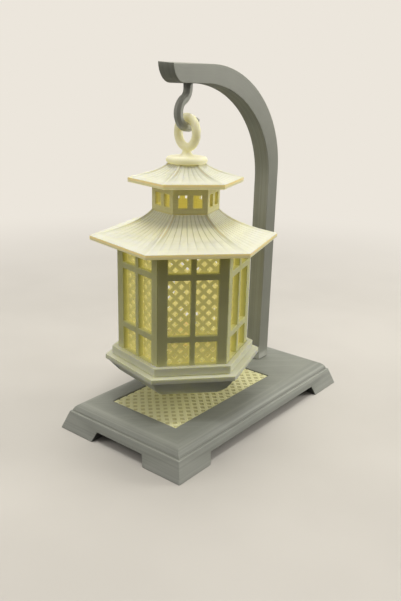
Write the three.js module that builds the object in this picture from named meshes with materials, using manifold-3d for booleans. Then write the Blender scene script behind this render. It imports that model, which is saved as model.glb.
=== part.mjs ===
// Hanging hexagonal tealight lantern on a stand. Millimetres, +Z up.
// The origin is the middle of the base at the height of the feet. +X runs towards the post.
import * as THREE from 'three';
import { mergeVertices } from 'three/addons/utils/BufferGeometryUtils.js';
import Module from 'manifold-3d';

// Clearances
const SEAT_GAP = 0.3; // between pieces that sit on or in each other
const MITRE_GAP = 0.2; // between neighbouring wall frames at the corners
const PAST = 1; // how far a cutting solid runs past what it cuts

// Base and mat
const BASE_LENGTH = 152.4; // over the feet, along X
const BASE_WIDTH = 85; // over the feet, along Y
const SKIRT_HEIGHT = 10;
const SKIRT_INSET = 3.6; // how far the skirt leans in over its height
const LIP_WIDTH = 1; // flat step above the skirt
const EDGE_RUN = 9; // width of the rounded top edge
const EDGE_RISE = 5.1; // height of the rounded top edge
const CHANNEL_HEIGHT = 5.5; // clear height between the feet
const FOOT_LENGTH = 24.2; // length of each foot along both sides of its corner
const FOOT_FLARE = 2.4; // how much longer a foot is at its top
const MAT_LENGTH = 84;
const MAT_BORDER = 6.7; // from the mat to where the rounded edge begins
const MAT_RECESS = 2;
const MAT_THICKNESS = 1.4;

// Arm
const BAR_WIDTH = 9.7; // section of the bar along Y
const POST_DEPTH = 9.7; // section of the upright along X
const ARM_DEPTH = 9.5; // height of the bar at its free end
const STAND_HEIGHT = 189.6; // over the arm; the lantern's walls are as high as it leaves room for
const POST_SETBACK = 22.8; // from the end of the base to the back of the post
const ARM_NOSE = 16.2; // from the hook to the tip
const ARCH_OUTER_RUN = 65.4;
const ARCH_OUTER_RISE = 56.4;
const ARCH_INNER_RUN = 59.7;
const ARCH_INNER_RISE = 51.7;
const TIP_ROUND = 7.8; // run of the rounded underside of the tip
const TENON_DEPTH = 7; // post foot let into the base
const TENON_SHOULDER = 1; // how much slimmer the tenon is on each side

// Hook
const HOOK_REACH = 67.8; // from the front of the post to the hook
const HOOK_BAR = 4.2; // across the flats of the eight-sided bar
const HOOK_BOWL_RADIUS = 6.9;
const HOOK_NECK_RADIUS = 4;
const HOOK_DROP = 13.6; // from the arm down to the centre of the bowl
const HOOK_TIP_ANGLE = 25; // how far below level the bowl ends, degrees
const HOOK_PEG = 5; // length let into the arm

// Lantern, measured from its own axis; a hexagon's radius runs to its corners
const LANTERN_TURN = -11.7; // how far it hangs turned on the hook, degrees
const LANTERN_CLEARANCE = 12.223; // from the base up to the hanging lantern
const RING_RADIUS = 7.15; // to the middle of the ring's bar
const RING_BAR = 4.4;
const NECK_RADIUS = 2.3;
const NECK_HEIGHT = 2.2; // from the cap to the underside of the ring
const CAP_RADIUS = 10.45;
const CAP_HEIGHT = 3.4;
const STEM_RADIUS = 3;
const STEM_HEAD_RADIUS = 4.6;
const STEM_HEAD_HEIGHT = 1.6;
const STEM_HEAD_CHAMFER = 0.8;
const NECK_FLARE_RADIUS = 4.6; // where the neck spreads on to the cap
const CEILING_THICKNESS = 5; // roof material that the stem passes through

const UPPER_ROOF_RADIUS = 29.5;
const UPPER_ROOF_CROWN = 9.8;
const UPPER_ROOF_RISE = 6.5;
const UPPER_EAVE = 2.5;
const UPPER_GROOVES = 6; // on each face

const CLERESTORY_RADIUS = 17.4;
const CLERESTORY_HEIGHT = 13.7;
const CLERESTORY_WALL = 2.2;
const CLERESTORY_SPIGOT = 2.5; // let into the main roof
const SPIGOT_LEDGE = 1.6; // roof material under the spigot
const CLERESTORY_WINDOW_WIDTH = 4.45;
const CLERESTORY_WINDOW_HEIGHT = 6.3;
const CLERESTORY_WINDOW_SPACING = 7.35;
const CLERESTORY_SILL = 2.9;

const ROOF_OVERHANG = 13.7; // corner of the eave beyond the corner of the body
const ROOF_RISE = 12.8;
const ROOF_PULL_IN = 0.24; // place of the hollow's pull, as a share of the roof's run from the crown
const ROOF_PULL_UP = 0.38; // and of its rise
const ROOF_SHELL = 3; // thickness of the roof over its hollow
const EAVE = 2.35;
const ROOF_GROOVES = 9; // on each face
const GROOVE_WIDTH = 0.7;
const GROOVE_DEPTH = 0.45;
const HIP_WIDTH = 1.6;
const HIP_HEIGHT = 0.4;

const BODY_RADIUS = 35.2;
const FRAME_THICKNESS = 3;
const STILE = 5.1;
const MULLION = 2.7;
const RAIL = 3.3;
const TOP_RAIL = 2.6; // part that shows below the roof
const LOWER_RAIL_HEIGHT = 12.1; // from the plinth to the underside of the lower rail
const UPPER_PANE_HEIGHT = 7.9; // between the upper rail and the top rail
const WALL_TONGUE = 1.5; // frames and screens let into plinth and roof
const GROOVE_LIP = 1.2; // roof material inside the wall groove
const SCREEN_THICKNESS = 1.4;
const LATTICE_PITCH = 5.6;
const LATTICE_HOLE = 2.98; // corner to corner of each diamond

const PLINTH_STEP = 3.4; // corner of the plinth beyond the corner of the body
const PLINTH_HEIGHT = 4.3;
const TRAY_STEP = 3.6; // corner of the tray's flange beyond the corner of the plinth
const TRAY_FLANGE = 2.65;
const TRAY_DEPTH = 11.2; // tapered part below the flange
const TRAY_TAPER = 13.6; // how much the underside draws in, at its corners
const TRAY_LEDGE = 1.2; // flat step under the flange
const TRAY_BELLY = 1.1; // how far the taper bulges out
const TRAY_FLOOR = 2.5;
const TRAY_SPIGOT = 2.6; // rim that rises into the plinth
const TRAY_SPIGOT_WALL = 1.7;

// Battery tealight
const LIGHT_RADIUS = 19;
const LIGHT_HEIGHT = 17.5; // housing without the flame
const LIGHT_WALL = 1.4;
const LIGHT_TAPER = 0.5;
const LIGHT_DISH = 2.2; // how far the top is dished
const LIGHT_RIM = 2; // width of the flat rim round the dish
const LIGHT_RIM_CHAMFER = 0.6;
const LIGHT_DISH_SLOPE = 1.4; // run of the dish's steep side
const LIGHT_DISH_STEP = 0.5; // where the steep side ends, over the dish's floor
const FLAME_COLLAR = 3; // width of the raised collar round the flame
const FLAME_COLLAR_RISE = 0.4;
const FLAME_RADIUS = 4.6;
const FLAME_HEIGHT = 16;
const FLAME_WALL = 1;
const BASE_PLATE = 1.6;
const CELL_RADIUS = 10;
const CELL_HEIGHT = 3.2;
const CELL_LID_INSET = 1.2; // how much smaller the cell's lid is
const CELL_LID_STEP = 0.3;
const DOOR_RADIUS = 11.6;
const DOOR_OFFSET = 4.4; // door centre from the tealight's axis
const DOOR_LUG = 1; // how far the lugs reach over the plate
const DOOR_LUG_ANGLE = 22; // degrees
const DOOR_NOTCH_ANGLE = 28; // degrees
const LUG_THICKNESS = 0.8;
const COIN_SLOT = 12; // length of the slot across the door
const COIN_SLOT_WIDTH = 1.6;
const DOOR_TWIST = 30; // turn that frees the door, degrees
const SWITCH_OFFSET = 12.4;
const SWITCH_WIDTH = 2.8;
const SWITCH_LENGTH = 3.4;
const SWITCH_TRAVEL = 2;
const SWITCH_HEAD = 0.8; // how far the head reaches past the slot
const LED_RADIUS = 2.5;
const LED_HEIGHT = 7; // from the collar to the tip
const LED_COLLAR = 0.4; // how far the collar stands out
const LED_COLLAR_HEIGHT = 1;
const LEG_SPACING = 2.54;
const LEG_WIDTH = 0.6;
const CONTACT_THICKNESS = 0.4;
const CONTACT_WIDTH = 3;
const CONTACT_REACH = 4; // of the top contact past the cell's middle
const CONTACT_SPLIT = 1.9; // between the two contacts, under the lamp

const wasm = await Module();
wasm.setup();

const rad = THREE.MathUtils.degToRad;
const HEX = 6;
const FACE_ANGLE = 180 / HEX; // from a corner to the middle of a face
const ROUND = 20; // facets of a turned piece
const apothem = (radius) => radius * Math.cos(rad(FACE_ANGLE));
const cornerRadius = (flat) => flat / Math.cos(rad(FACE_ANGLE));

// Finishes
const finish = (color, roughness, metalness = 0) =>
  new THREE.MeshStandardMaterial({ color, roughness, metalness, flatShading: true });
const stone = finish(0x7d8178, 0.6);
const ivory = finish(0xe9e4b4, 0.55);
const white = finish(0xf2f0e8, 0.45);
const amber = finish(0xffc766, 0.3);
const steel = finish(0xb9bcc0, 0.3, 1);
const black = finish(0x26262a, 0.5);

// Geometry helpers

// Merges a geometry's shared vertices, drops slivers and turns it the right way out.
function weld(geometry) {
  const plain = new THREE.BufferGeometry();
  plain.setAttribute('position', geometry.getAttribute('position').clone());
  if (geometry.index) plain.setIndex([...geometry.index.array]);
  const merged = mergeVertices(plain, 1e-4);
  const corner = (i) => new THREE.Vector3().fromBufferAttribute(merged.attributes.position, i);
  const kept = [];
  let volume = 0;
  for (let i = 0; i < merged.index.count; i += 3) {
    const [a, b, c] = [0, 1, 2].map((k) => merged.index.getX(i + k));
    if (a === b || b === c || c === a) continue;
    kept.push([a, b, c]);
    volume += corner(a).dot(corner(b).cross(corner(c)));
  }
  merged.setIndex((volume < 0 ? kept.map(([a, b, c]) => [a, c, b]) : kept).flat());
  return merged;
}

function solid(geometry) {
  const welded = weld(geometry);
  return new wasm.Manifold(
    new wasm.Mesh({
      numProp: 3,
      vertProperties: new Float32Array(welded.attributes.position.array),
      triVerts: new Uint32Array(welded.index.array),
    })
  );
}

function join(first, ...others) {
  return others.reduce((whole, piece) => whole.add(piece), first);
}

function cut(first, ...others) {
  return others.reduce((whole, piece) => whole.subtract(piece), first);
}

function part(name, body, material) {
  const { vertProperties, triVerts } = body.getMesh();
  const geometry = new THREE.BufferGeometry();
  geometry.setAttribute('position', new THREE.BufferAttribute(vertProperties, 3));
  geometry.setIndex(new THREE.BufferAttribute(triVerts, 1));
  const mesh = new THREE.Mesh(geometry, material);
  mesh.name = name;
  return mesh;
}

// A flat outline raised from bottom to top along Z.
function prism(shape, bottom, top) {
  const geometry = new THREE.ExtrudeGeometry(shape, { depth: top - bottom, bevelEnabled: false });
  return solid(geometry.translate(0, 0, bottom));
}

// A flat outline in the XZ plane, spread evenly about y = 0.
function slab(shape, width) {
  const geometry = new THREE.ExtrudeGeometry(shape, {
    depth: width,
    bevelEnabled: false,
    curveSegments: 14,
  });
  return solid(geometry.translate(0, 0, -width / 2).rotateX(Math.PI / 2));
}

function box(x0, x1, y0, y1, z0, z1) {
  const geometry = new THREE.BoxGeometry(x1 - x0, y1 - y0, z1 - z0);
  return solid(geometry.translate((x0 + x1) / 2, (y0 + y1) / 2, (z0 + z1) / 2));
}

// A profile of [radius, height] points turned about Z, with a corner on +X.
function turned(profile, facets = ROUND) {
  const points = profile.map(([radius, height]) => new THREE.Vector2(radius, height));
  const geometry = new THREE.LatheGeometry(points, facets, Math.PI / 2);
  return solid(geometry.rotateX(Math.PI / 2));
}

const hexagonal = (profile) => turned(profile, HEX);

const hexPrism = (radius, bottom, top) => hexagonal([[0, bottom], [radius, bottom], [radius, top], [0, top]]);

function tube(outer, inner, bottom, top, facets = ROUND) {
  return turned([[inner, bottom], [outer, bottom], [outer, top], [inner, top], [inner, bottom]], facets);
}

// Joins rings of points into a closed skin, with flat ends. The rings have equal counts, but the
// lowest may have only every so many of the next one's points.
function loft(rings) {
  const positions = rings.flat().flatMap((point) => [point.x, point.y, point.z]);
  const starts = rings.map((_, i) => rings.slice(0, i).flat().length);
  const at = (ring, i) => starts[ring] + (i % rings[ring].length);
  const index = [];
  for (let ring = 0; ring < rings.length - 1; ring += 1) {
    const share = rings[ring].length / rings[ring + 1].length;
    for (let i = 0; i < rings[ring + 1].length; i += 1) {
      const below = at(ring, Math.round(i * share));
      const next = at(ring, Math.round((i + 1) * share));
      index.push(below, at(ring + 1, i + 1), at(ring + 1, i));
      if (next !== below) index.push(below, next, at(ring + 1, i + 1));
    }
  }
  const cap = (ring, flip) => {
    const flat = rings[ring].map((point) => new THREE.Vector2(point.x, point.y));
    for (const [a, b, c] of THREE.ShapeUtils.triangulateShape(flat, [])) {
      const corners = flip ? [c, b, a] : [a, b, c];
      index.push(...corners.map((i) => starts[ring] + i));
    }
  };
  cap(0, true);
  cap(rings.length - 1, false);
  const geometry = new THREE.BufferGeometry();
  geometry.setAttribute('position', new THREE.Float32BufferAttribute(positions, 3));
  geometry.setIndex(index);
  return solid(geometry);
}

function rectangle(halfX, halfY, z = 0) {
  return [[-1, -1], [1, -1], [1, 1], [-1, 1]].map(([x, y]) => new THREE.Vector3(x * halfX, y * halfY, z));
}

function polygon(points) {
  return new THREE.Shape(points.map(([x, y]) => new THREE.Vector2(x, y)));
}

// Heights over the floor
const hookCorner = HOOK_BAR / 2 / Math.cos(rad(22.5));
const baseTop = SKIRT_HEIGHT + EDGE_RISE;
const armUnderside = STAND_HEIGHT - ARM_DEPTH;
const bowlCentre = armUnderside - HOOK_DROP;
const bowlBottom = bowlCentre - HOOK_BOWL_RADIUS;
const lanternZ = baseTop + LANTERN_CLEARANCE;

// Heights of the lantern, from the underside of its tray. Its top hangs from the hook, so the
// roofs are placed downwards from the ring and the walls fill the height that is left.
const flangeBottom = TRAY_DEPTH;
const flangeTop = flangeBottom + TRAY_FLANGE;
const plinthTop = flangeTop + SEAT_GAP + PLINTH_HEIGHT;
const ringHoleTop = bowlBottom + hookCorner + SEAT_GAP / 2 - lanternZ;
const ringCentre = ringHoleTop - RING_RADIUS + RING_BAR / 2;
const capTop = ringHoleTop - 2 * RING_RADIUS - NECK_HEIGHT;
const capBottom = capTop - CAP_HEIGHT;
const crownTop = capBottom - SEAT_GAP;
const upperEaveTop = crownTop - UPPER_ROOF_RISE;
const upperEaveBottom = upperEaveTop - UPPER_EAVE;
const roofTop = upperEaveBottom - CLERESTORY_HEIGHT - SEAT_GAP;
const eaveTop = roofTop - ROOF_RISE;
const eaveBottom = eaveTop - EAVE;
const wallHeight = eaveBottom - plinthTop;

// Stand

const postFront = BASE_LENGTH / 2 - POST_SETBACK - POST_DEPTH;
const lanternX = postFront - HOOK_REACH;
const flatInset = SKIRT_INSET + LIP_WIDTH + EDGE_RUN;

function matPlace() {
  const left = -BASE_LENGTH / 2 + flatInset + MAT_BORDER;
  const halfY = BASE_WIDTH / 2 - flatInset - MAT_BORDER;
  return { left, right: left + MAT_LENGTH, halfY };
}

// A channel right through under the base, wider at the floor, leaving the corner feet.
function footChannel(halfSpan, length) {
  const floor = halfSpan - FOOT_LENGTH;
  const ceiling = floor - FOOT_FLARE;
  const slope = (floor - ceiling) / CHANNEL_HEIGHT;
  return slab(
    polygon([
      [-floor - slope * PAST, -PAST],
      [floor + slope * PAST, -PAST],
      [ceiling, CHANNEL_HEIGHT],
      [-ceiling, CHANNEL_HEIGHT],
    ]),
    length
  );
}

function makeBase() {
  const halfX = BASE_LENGTH / 2;
  const halfY = BASE_WIDTH / 2;
  const lip = SKIRT_INSET + LIP_WIDTH;
  const steps = 8;
  const rings = [
    rectangle(halfX, halfY, 0),
    rectangle(halfX - SKIRT_INSET, halfY - SKIRT_INSET, SKIRT_HEIGHT),
  ];
  for (let i = 0; i <= steps; i += 1) {
    const angle = (i / steps) * (Math.PI / 2);
    const inset = lip + EDGE_RUN * (1 - Math.cos(angle));
    rings.push(rectangle(halfX - inset, halfY - inset, SKIRT_HEIGHT + EDGE_RISE * Math.sin(angle)));
  }
  const alongY = footChannel(halfX, 2 * BASE_WIDTH);
  const alongX = footChannel(halfY, 2 * BASE_LENGTH).rotate([0, 0, 90]);
  const mat = matPlace();
  const recess = box(
    mat.left - SEAT_GAP, mat.right + SEAT_GAP,
    -mat.halfY - SEAT_GAP, mat.halfY + SEAT_GAP,
    baseTop - MAT_RECESS, baseTop + PAST
  );
  const tenonY = BAR_WIDTH / 2 - TENON_SHOULDER + SEAT_GAP;
  const mortise = box(
    postFront + TENON_SHOULDER - SEAT_GAP, postFront + POST_DEPTH - TENON_SHOULDER + SEAT_GAP,
    -tenonY, tenonY,
    baseTop - TENON_DEPTH - SEAT_GAP, baseTop + PAST
  );
  return part('base', cut(loft(rings), alongY, alongX, recess, mortise), stone);
}

function makeMat() {
  const { left, right, halfY } = matPlace();
  const bottom = baseTop - MAT_RECESS + SEAT_GAP;
  return part('mat', box(left, right, -halfY, halfY, bottom, bottom + MAT_THICKNESS), ivory);
}

// The bar's side view: up the back of the post, over the arch, round the tip and back.
function makeArm() {
  const back = postFront + POST_DEPTH;
  const tip = lanternX - ARM_NOSE;
  const foot = baseTop + SEAT_GAP;
  const outline = new THREE.Shape();
  outline.moveTo(postFront, foot);
  outline.lineTo(back, foot);
  outline.lineTo(back, STAND_HEIGHT - ARCH_OUTER_RISE);
  outline.absellipse(
    back - ARCH_OUTER_RUN, STAND_HEIGHT - ARCH_OUTER_RISE,
    ARCH_OUTER_RUN, ARCH_OUTER_RISE, 0, Math.PI / 2, false
  );
  outline.lineTo(tip, STAND_HEIGHT);
  outline.absellipse(tip + TIP_ROUND, STAND_HEIGHT, TIP_ROUND, ARM_DEPTH, Math.PI, 1.5 * Math.PI, false);
  outline.lineTo(postFront - ARCH_INNER_RUN, armUnderside);
  outline.absellipse(
    postFront - ARCH_INNER_RUN, armUnderside - ARCH_INNER_RISE,
    ARCH_INNER_RUN, ARCH_INNER_RISE, Math.PI / 2, 0, true
  );
  const halfTenon = BAR_WIDTH / 2 - TENON_SHOULDER;
  const tenon = box(
    postFront + TENON_SHOULDER, back - TENON_SHOULDER,
    -halfTenon, halfTenon, baseTop - TENON_DEPTH, foot + PAST
  );
  const socket = turned(
    [[0, armUnderside - PAST], [hookCorner + SEAT_GAP, armUnderside - PAST],
      [hookCorner + SEAT_GAP, armUnderside + HOOK_PEG + SEAT_GAP], [0, armUnderside + HOOK_PEG + SEAT_GAP]],
    8
  ).rotate([0, 0, 22.5]).translate([lanternX, 0, 0]);
  return part('arm', cut(join(slab(outline, BAR_WIDTH), tenon), socket), stone);
}

// Hook

// An arc in the XZ plane, by its centre, radius and angles from +X.
class UprightArc extends THREE.Curve {
  constructor(x, z, radius, from, to) {
    super();
    Object.assign(this, { x, z, radius, from, to });
  }

  getPoint(t, target = new THREE.Vector3()) {
    const angle = this.from + (this.to - this.from) * t;
    return target.set(this.x + this.radius * Math.cos(angle), 0, this.z + this.radius * Math.sin(angle));
  }
}

// The shank comes straight down, bends away from the post and runs on into the bowl.
function makeHook() {
  const reach = HOOK_NECK_RADIUS + HOOK_BOWL_RADIUS;
  const neckHeight = Math.sqrt(reach ** 2 - HOOK_NECK_RADIUS ** 2);
  const bend = Math.atan2(neckHeight, HOOK_NECK_RADIUS);
  const top = armUnderside + HOOK_PEG;
  const path = new THREE.CurvePath();
  path.add(new THREE.LineCurve3(
    new THREE.Vector3(lanternX, 0, top), new THREE.Vector3(lanternX, 0, bowlCentre + neckHeight)
  ));
  path.add(new UprightArc(lanternX - HOOK_NECK_RADIUS, bowlCentre + neckHeight, HOOK_NECK_RADIUS, 0, -bend));
  path.add(new UprightArc(
    lanternX, bowlCentre, HOOK_BOWL_RADIUS, Math.PI - bend, 2 * Math.PI - rad(HOOK_TIP_ANGLE)
  ));
  const section = polygon(Array.from({ length: 8 }, (_, i) => {
    const angle = rad(22.5 + 45 * i);
    return [hookCorner * Math.cos(angle), hookCorner * Math.sin(angle)];
  }));
  const bar = new THREE.ExtrudeGeometry(section, { steps: 26, bevelEnabled: false, extrudePath: path });
  return part('hook', solid(bar), stone);
}

const wallInside = cornerRadius(apothem(CLERESTORY_RADIUS) - CLERESTORY_WALL);
const spigotRadius = cornerRadius(apothem(CLERESTORY_RADIUS) - CLERESTORY_WALL / 2);

// Depths of the body's wall, from outside to inside
const frameFlat = apothem(BODY_RADIUS);
const roofRadius = BODY_RADIUS + ROOF_OVERHANG;
const plinthRadius = BODY_RADIUS + PLINTH_STEP;
const trayRadius = plinthRadius + TRAY_STEP;
const frameBack = frameFlat - FRAME_THICKNESS;
const screenFront = frameBack - SEAT_GAP;
const screenBack = screenFront - SCREEN_THICKNESS;
const wallGrooveInner = cornerRadius(screenBack - SEAT_GAP);
const wallGrooveOuter = BODY_RADIUS + SEAT_GAP;
const wallGroove = (bottom, top) => tube(wallGrooveOuter, wallGrooveInner, bottom, top, HEX);

// Window openings of each side: half the width between the stiles, and the three rows of panes
const halfWindow = BODY_RADIUS / 2 - STILE;
const paneRows = [
  [plinthTop, plinthTop + LOWER_RAIL_HEIGHT],
  [plinthTop + LOWER_RAIL_HEIGHT + RAIL, eaveBottom - TOP_RAIL - UPPER_PANE_HEIGHT - RAIL],
  [eaveBottom - TOP_RAIL - UPPER_PANE_HEIGHT, eaveBottom - TOP_RAIL],
];

// One ring of a grooved hexagonal roof. Each face has its grooves spread evenly across it, so
// that they draw together towards the crown, and a low hip runs up each corner.
function roofRing(radius, z, grooves, depth, hip) {
  const ring = [];
  for (let face = 0; face < HEX; face += 1) {
    const from = new THREE.Vector2(radius, 0).rotateAround(new THREE.Vector2(), rad(60 * face));
    const to = new THREE.Vector2(radius, 0).rotateAround(new THREE.Vector2(), rad(60 * (face + 1)));
    const at = (share, lift) => {
      const point = from.clone().lerp(to, share);
      ring.push(new THREE.Vector3(point.x, point.y, z + lift));
    };
    at(0, hip);
    at(HIP_WIDTH / 2 / radius, 0);
    const half = GROOVE_WIDTH / 2 / radius;
    for (let i = 1; i <= grooves; i += 1) {
      const middle = i / (grooves + 1);
      at(middle - half, 0);
      at(middle, -depth);
      at(middle + half, 0);
    }
    at(1 - HIP_WIDTH / 2 / radius, 0);
  }
  return ring;
}

// A roof's hollow curve as [radius, height] points, from the eave up to the crown.
function roofCurve(eaveRadius, crownRadius, rise, steps) {
  const start = new THREE.Vector2(eaveRadius, 0);
  const end = new THREE.Vector2(crownRadius, rise);
  const run = eaveRadius - crownRadius;
  const pull = new THREE.Vector2(crownRadius + ROOF_PULL_IN * run, ROOF_PULL_UP * rise);
  return new THREE.QuadraticBezierCurve(start, pull, end).getPoints(steps);
}

function roofSolid({ radius, crown, rise, eave, grooves, steps }) {
  const corners = Array.from({ length: HEX }, (_, i) => {
    const angle = rad((360 / HEX) * i);
    return new THREE.Vector3(radius * Math.cos(angle), radius * Math.sin(angle), -eave);
  });
  const rings = [corners, roofRing(radius, 0, grooves, 0, 0)];
  roofCurve(radius, crown, rise, steps).slice(1).forEach((point, i) => {
    const share = Math.min(1, (i + 1) / 2);
    const hip = i === steps - 1 ? 0 : HIP_HEIGHT * share;
    const depth = i === steps - 1 ? 0 : GROOVE_DEPTH * share;
    rings.push(roofRing(point.x, point.y, grooves, depth, hip));
  });
  return loft(rings);
}

function makeMainRoof() {
  const steps = 4;
  const shape = { radius: roofRadius, crown: CLERESTORY_RADIUS, rise: ROOF_RISE, eave: EAVE };
  const roof = roofSolid({ ...shape, grooves: ROOF_GROOVES, steps }).translate([0, 0, eaveTop]);
  const mouth = wallGrooveInner - GROOVE_LIP;
  const spigotFloor = roofTop - CLERESTORY_SPIGOT - SEAT_GAP;
  const shell = roofCurve(roofRadius, CLERESTORY_RADIUS, ROOF_RISE, steps)
    .map((point) => [point.x, eaveTop + point.y - ROOF_SHELL])
    .filter(([radius, height]) => radius < mouth && height < spigotFloor - SPIGOT_LEDGE);
  const hollow = hexagonal([
    [0, eaveBottom - PAST],
    [mouth, eaveBottom - PAST],
    [mouth, eaveTop],
    ...shell,
    [wallInside, spigotFloor - SPIGOT_LEDGE],
    [wallInside, roofTop + PAST],
    [0, roofTop + PAST],
  ]);
  const spigotHole = hexPrism(spigotRadius + SEAT_GAP, spigotFloor, roofTop + PAST);
  const groove = wallGroove(eaveBottom - PAST, eaveBottom + WALL_TONGUE + SEAT_GAP);
  return part('main_roof', cut(roof, hollow, spigotHole, groove), ivory);
}

// The inner half of the clerestory's wall goes down into the main roof, as a spigot.
function makeClerestory() {
  const bottom = roofTop + SEAT_GAP;
  const wall = join(
    tube(CLERESTORY_RADIUS, wallInside, bottom, upperEaveBottom - SEAT_GAP, HEX),
    tube(spigotRadius, wallInside, roofTop - CLERESTORY_SPIGOT, bottom + PAST, HEX)
  );
  const sill = bottom + CLERESTORY_SILL;
  const halfWidth = CLERESTORY_WINDOW_WIDTH / 2;
  const windows = [];
  for (let face = 0; face < HEX; face += 1) {
    for (const side of [-1, 1]) {
      const middle = (side * CLERESTORY_WINDOW_SPACING) / 2;
      const opening = box(
        apothem(wallInside) - PAST, CLERESTORY_RADIUS, middle - halfWidth, middle + halfWidth,
        sill, sill + CLERESTORY_WINDOW_HEIGHT
      );
      windows.push(opening.rotate([0, 0, FACE_ANGLE + 60 * face]));
    }
  }
  return part('clerestory', cut(wall, ...windows), ivory);
}

function makeUpperRoof() {
  const shape = { radius: UPPER_ROOF_RADIUS, crown: UPPER_ROOF_CROWN, rise: UPPER_ROOF_RISE };
  const roof = roofSolid({ ...shape, eave: UPPER_EAVE, grooves: UPPER_GROOVES, steps: 3 })
    .translate([0, 0, upperEaveTop]);
  const bossBottom = upperEaveBottom - CLERESTORY_SPIGOT;
  const boss = hexPrism(cornerRadius(apothem(wallInside) - SEAT_GAP), bossBottom, upperEaveBottom + PAST);
  const stemHole = turned([
    [0, bossBottom - PAST],
    [STEM_HEAD_RADIUS + SEAT_GAP, bossBottom - PAST],
    [STEM_HEAD_RADIUS + SEAT_GAP, crownTop - CEILING_THICKNESS],
    [STEM_RADIUS + SEAT_GAP, crownTop - CEILING_THICKNESS],
    [STEM_RADIUS + SEAT_GAP, crownTop + PAST],
    [0, crownTop + PAST],
  ]);
  return part('upper_roof', cut(join(roof, boss), stemHole), ivory);
}

// Ring, flared neck, round cap, and the stem that the roofs hang from.
function makeFinial() {
  const ring = solid(new THREE.TorusGeometry(RING_RADIUS, RING_BAR / 2, 8, 28))
    .rotate([90, 0, 0])
    .rotate([0, 0, 60])
    .translate([0, 0, ringCentre]);
  const headTop = crownTop - CEILING_THICKNESS - SEAT_GAP;
  const round = CAP_HEIGHT / 2;
  const steps = 4;
  const rim = Array.from({ length: steps + 1 }, (_, i) => {
    const angle = rad(-90 + (180 / steps) * i);
    return [CAP_RADIUS - round * (1 - Math.cos(angle)), capBottom + round * (1 + Math.sin(angle))];
  });
  const neckTop = capTop + NECK_HEIGHT + RING_BAR / 2;
  const body = turned([
    [0, headTop - STEM_HEAD_HEIGHT],
    [STEM_HEAD_RADIUS - STEM_HEAD_CHAMFER, headTop - STEM_HEAD_HEIGHT],
    [STEM_HEAD_RADIUS, headTop - STEM_HEAD_HEIGHT + STEM_HEAD_CHAMFER],
    [STEM_HEAD_RADIUS, headTop],
    [STEM_RADIUS, headTop],
    [STEM_RADIUS, capBottom],
    ...rim,
    [NECK_FLARE_RADIUS, capTop],
    [(NECK_RADIUS + NECK_FLARE_RADIUS) / 2, capTop + NECK_HEIGHT / 3],
    [NECK_RADIUS, capTop + NECK_HEIGHT],
    [NECK_RADIUS, neckTop],
    [0, neckTop],
  ]);
  return part('finial', join(body, ring), ivory);
}

// One side of the body as a mitred plank with six openings, drawn facing +X.
function makeWallFrame(face) {
  const bottom = plinthTop - WALL_TONGUE;
  const top = eaveBottom + WALL_TONGUE;
  const slope = Math.tan(rad(FACE_ANGLE));
  const end = (flat) => flat * slope - MITRE_GAP / 2;
  const plank = prism(
    polygon([
      [frameBack, -end(frameBack)], [frameFlat, -end(frameFlat)],
      [frameFlat, end(frameFlat)], [frameBack, end(frameBack)],
    ]),
    bottom, top
  );
  const openings = paneRows.flatMap(([low, high]) => [
    box(frameBack - PAST, frameFlat + PAST, -halfWindow, -MULLION / 2, low, high),
    box(frameBack - PAST, frameFlat + PAST, MULLION / 2, halfWindow, low, high),
  ]);
  const frame = cut(plank, ...openings).rotate([0, 0, FACE_ANGLE + 60 * face]);
  return part(`wall_frame_${face + 1}`, frame, ivory);
}

// A diamond lattice behind one frame. Diamonds that a bar of the frame would cover are left solid.
function makeScreen(face) {
  const halfWidth = screenBack * Math.tan(rad(FACE_ANGLE)) - MITRE_GAP;
  const bottom = plinthTop - WALL_TONGUE;
  const top = eaveBottom + WALL_TONGUE;
  const middle = (plinthTop + eaveBottom) / 2;
  const plate = polygon([[-halfWidth, bottom], [halfWidth, bottom], [halfWidth, top], [-halfWidth, top]]);
  const half = LATTICE_HOLE / 2;
  const step = LATTICE_PITCH / 2;
  const inPane = (z) => paneRows.some(([low, high]) => z > low && z < high);
  const open = (x, z) => Math.abs(x) > MULLION / 2 && Math.abs(x) < halfWindow && inPane(z);
  const columns = Math.floor((halfWindow - half) / step);
  const levels = Math.floor(wallHeight / 2 / step);
  for (let column = -columns; column <= columns; column += 1) {
    for (let level = -levels; level <= levels; level += 1) {
      const x = column * step;
      const z = middle + level * step;
      if ((column + level) % 2 !== 0 || !open(x, z)) continue;
      plate.holes.push(polygon([[x - half, z], [x, z - half], [x + half, z], [x, z + half]]));
    }
  }
  const screen = slab(plate, SCREEN_THICKNESS)
    .rotate([0, 0, 90])
    .translate([(screenFront + screenBack) / 2, 0, 0])
    .rotate([0, 0, FACE_ANGLE + 60 * face]);
  return part(`lattice_screen_${face + 1}`, screen, ivory);
}

// Stepped ring under the walls, with one groove for frames and screens.
function makePlinth() {
  const ring = tube(plinthRadius, spigotOuter + SEAT_GAP, flangeTop + SEAT_GAP, plinthTop, HEX);
  const groove = wallGroove(plinthTop - WALL_TONGUE - SEAT_GAP, plinthTop + PAST);
  return part('plinth', cut(ring, groove), ivory);
}

const pocketRadius = LIGHT_RADIUS + SEAT_GAP;
const spigotOuter = cornerRadius(pocketRadius + TRAY_SPIGOT_WALL);

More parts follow.
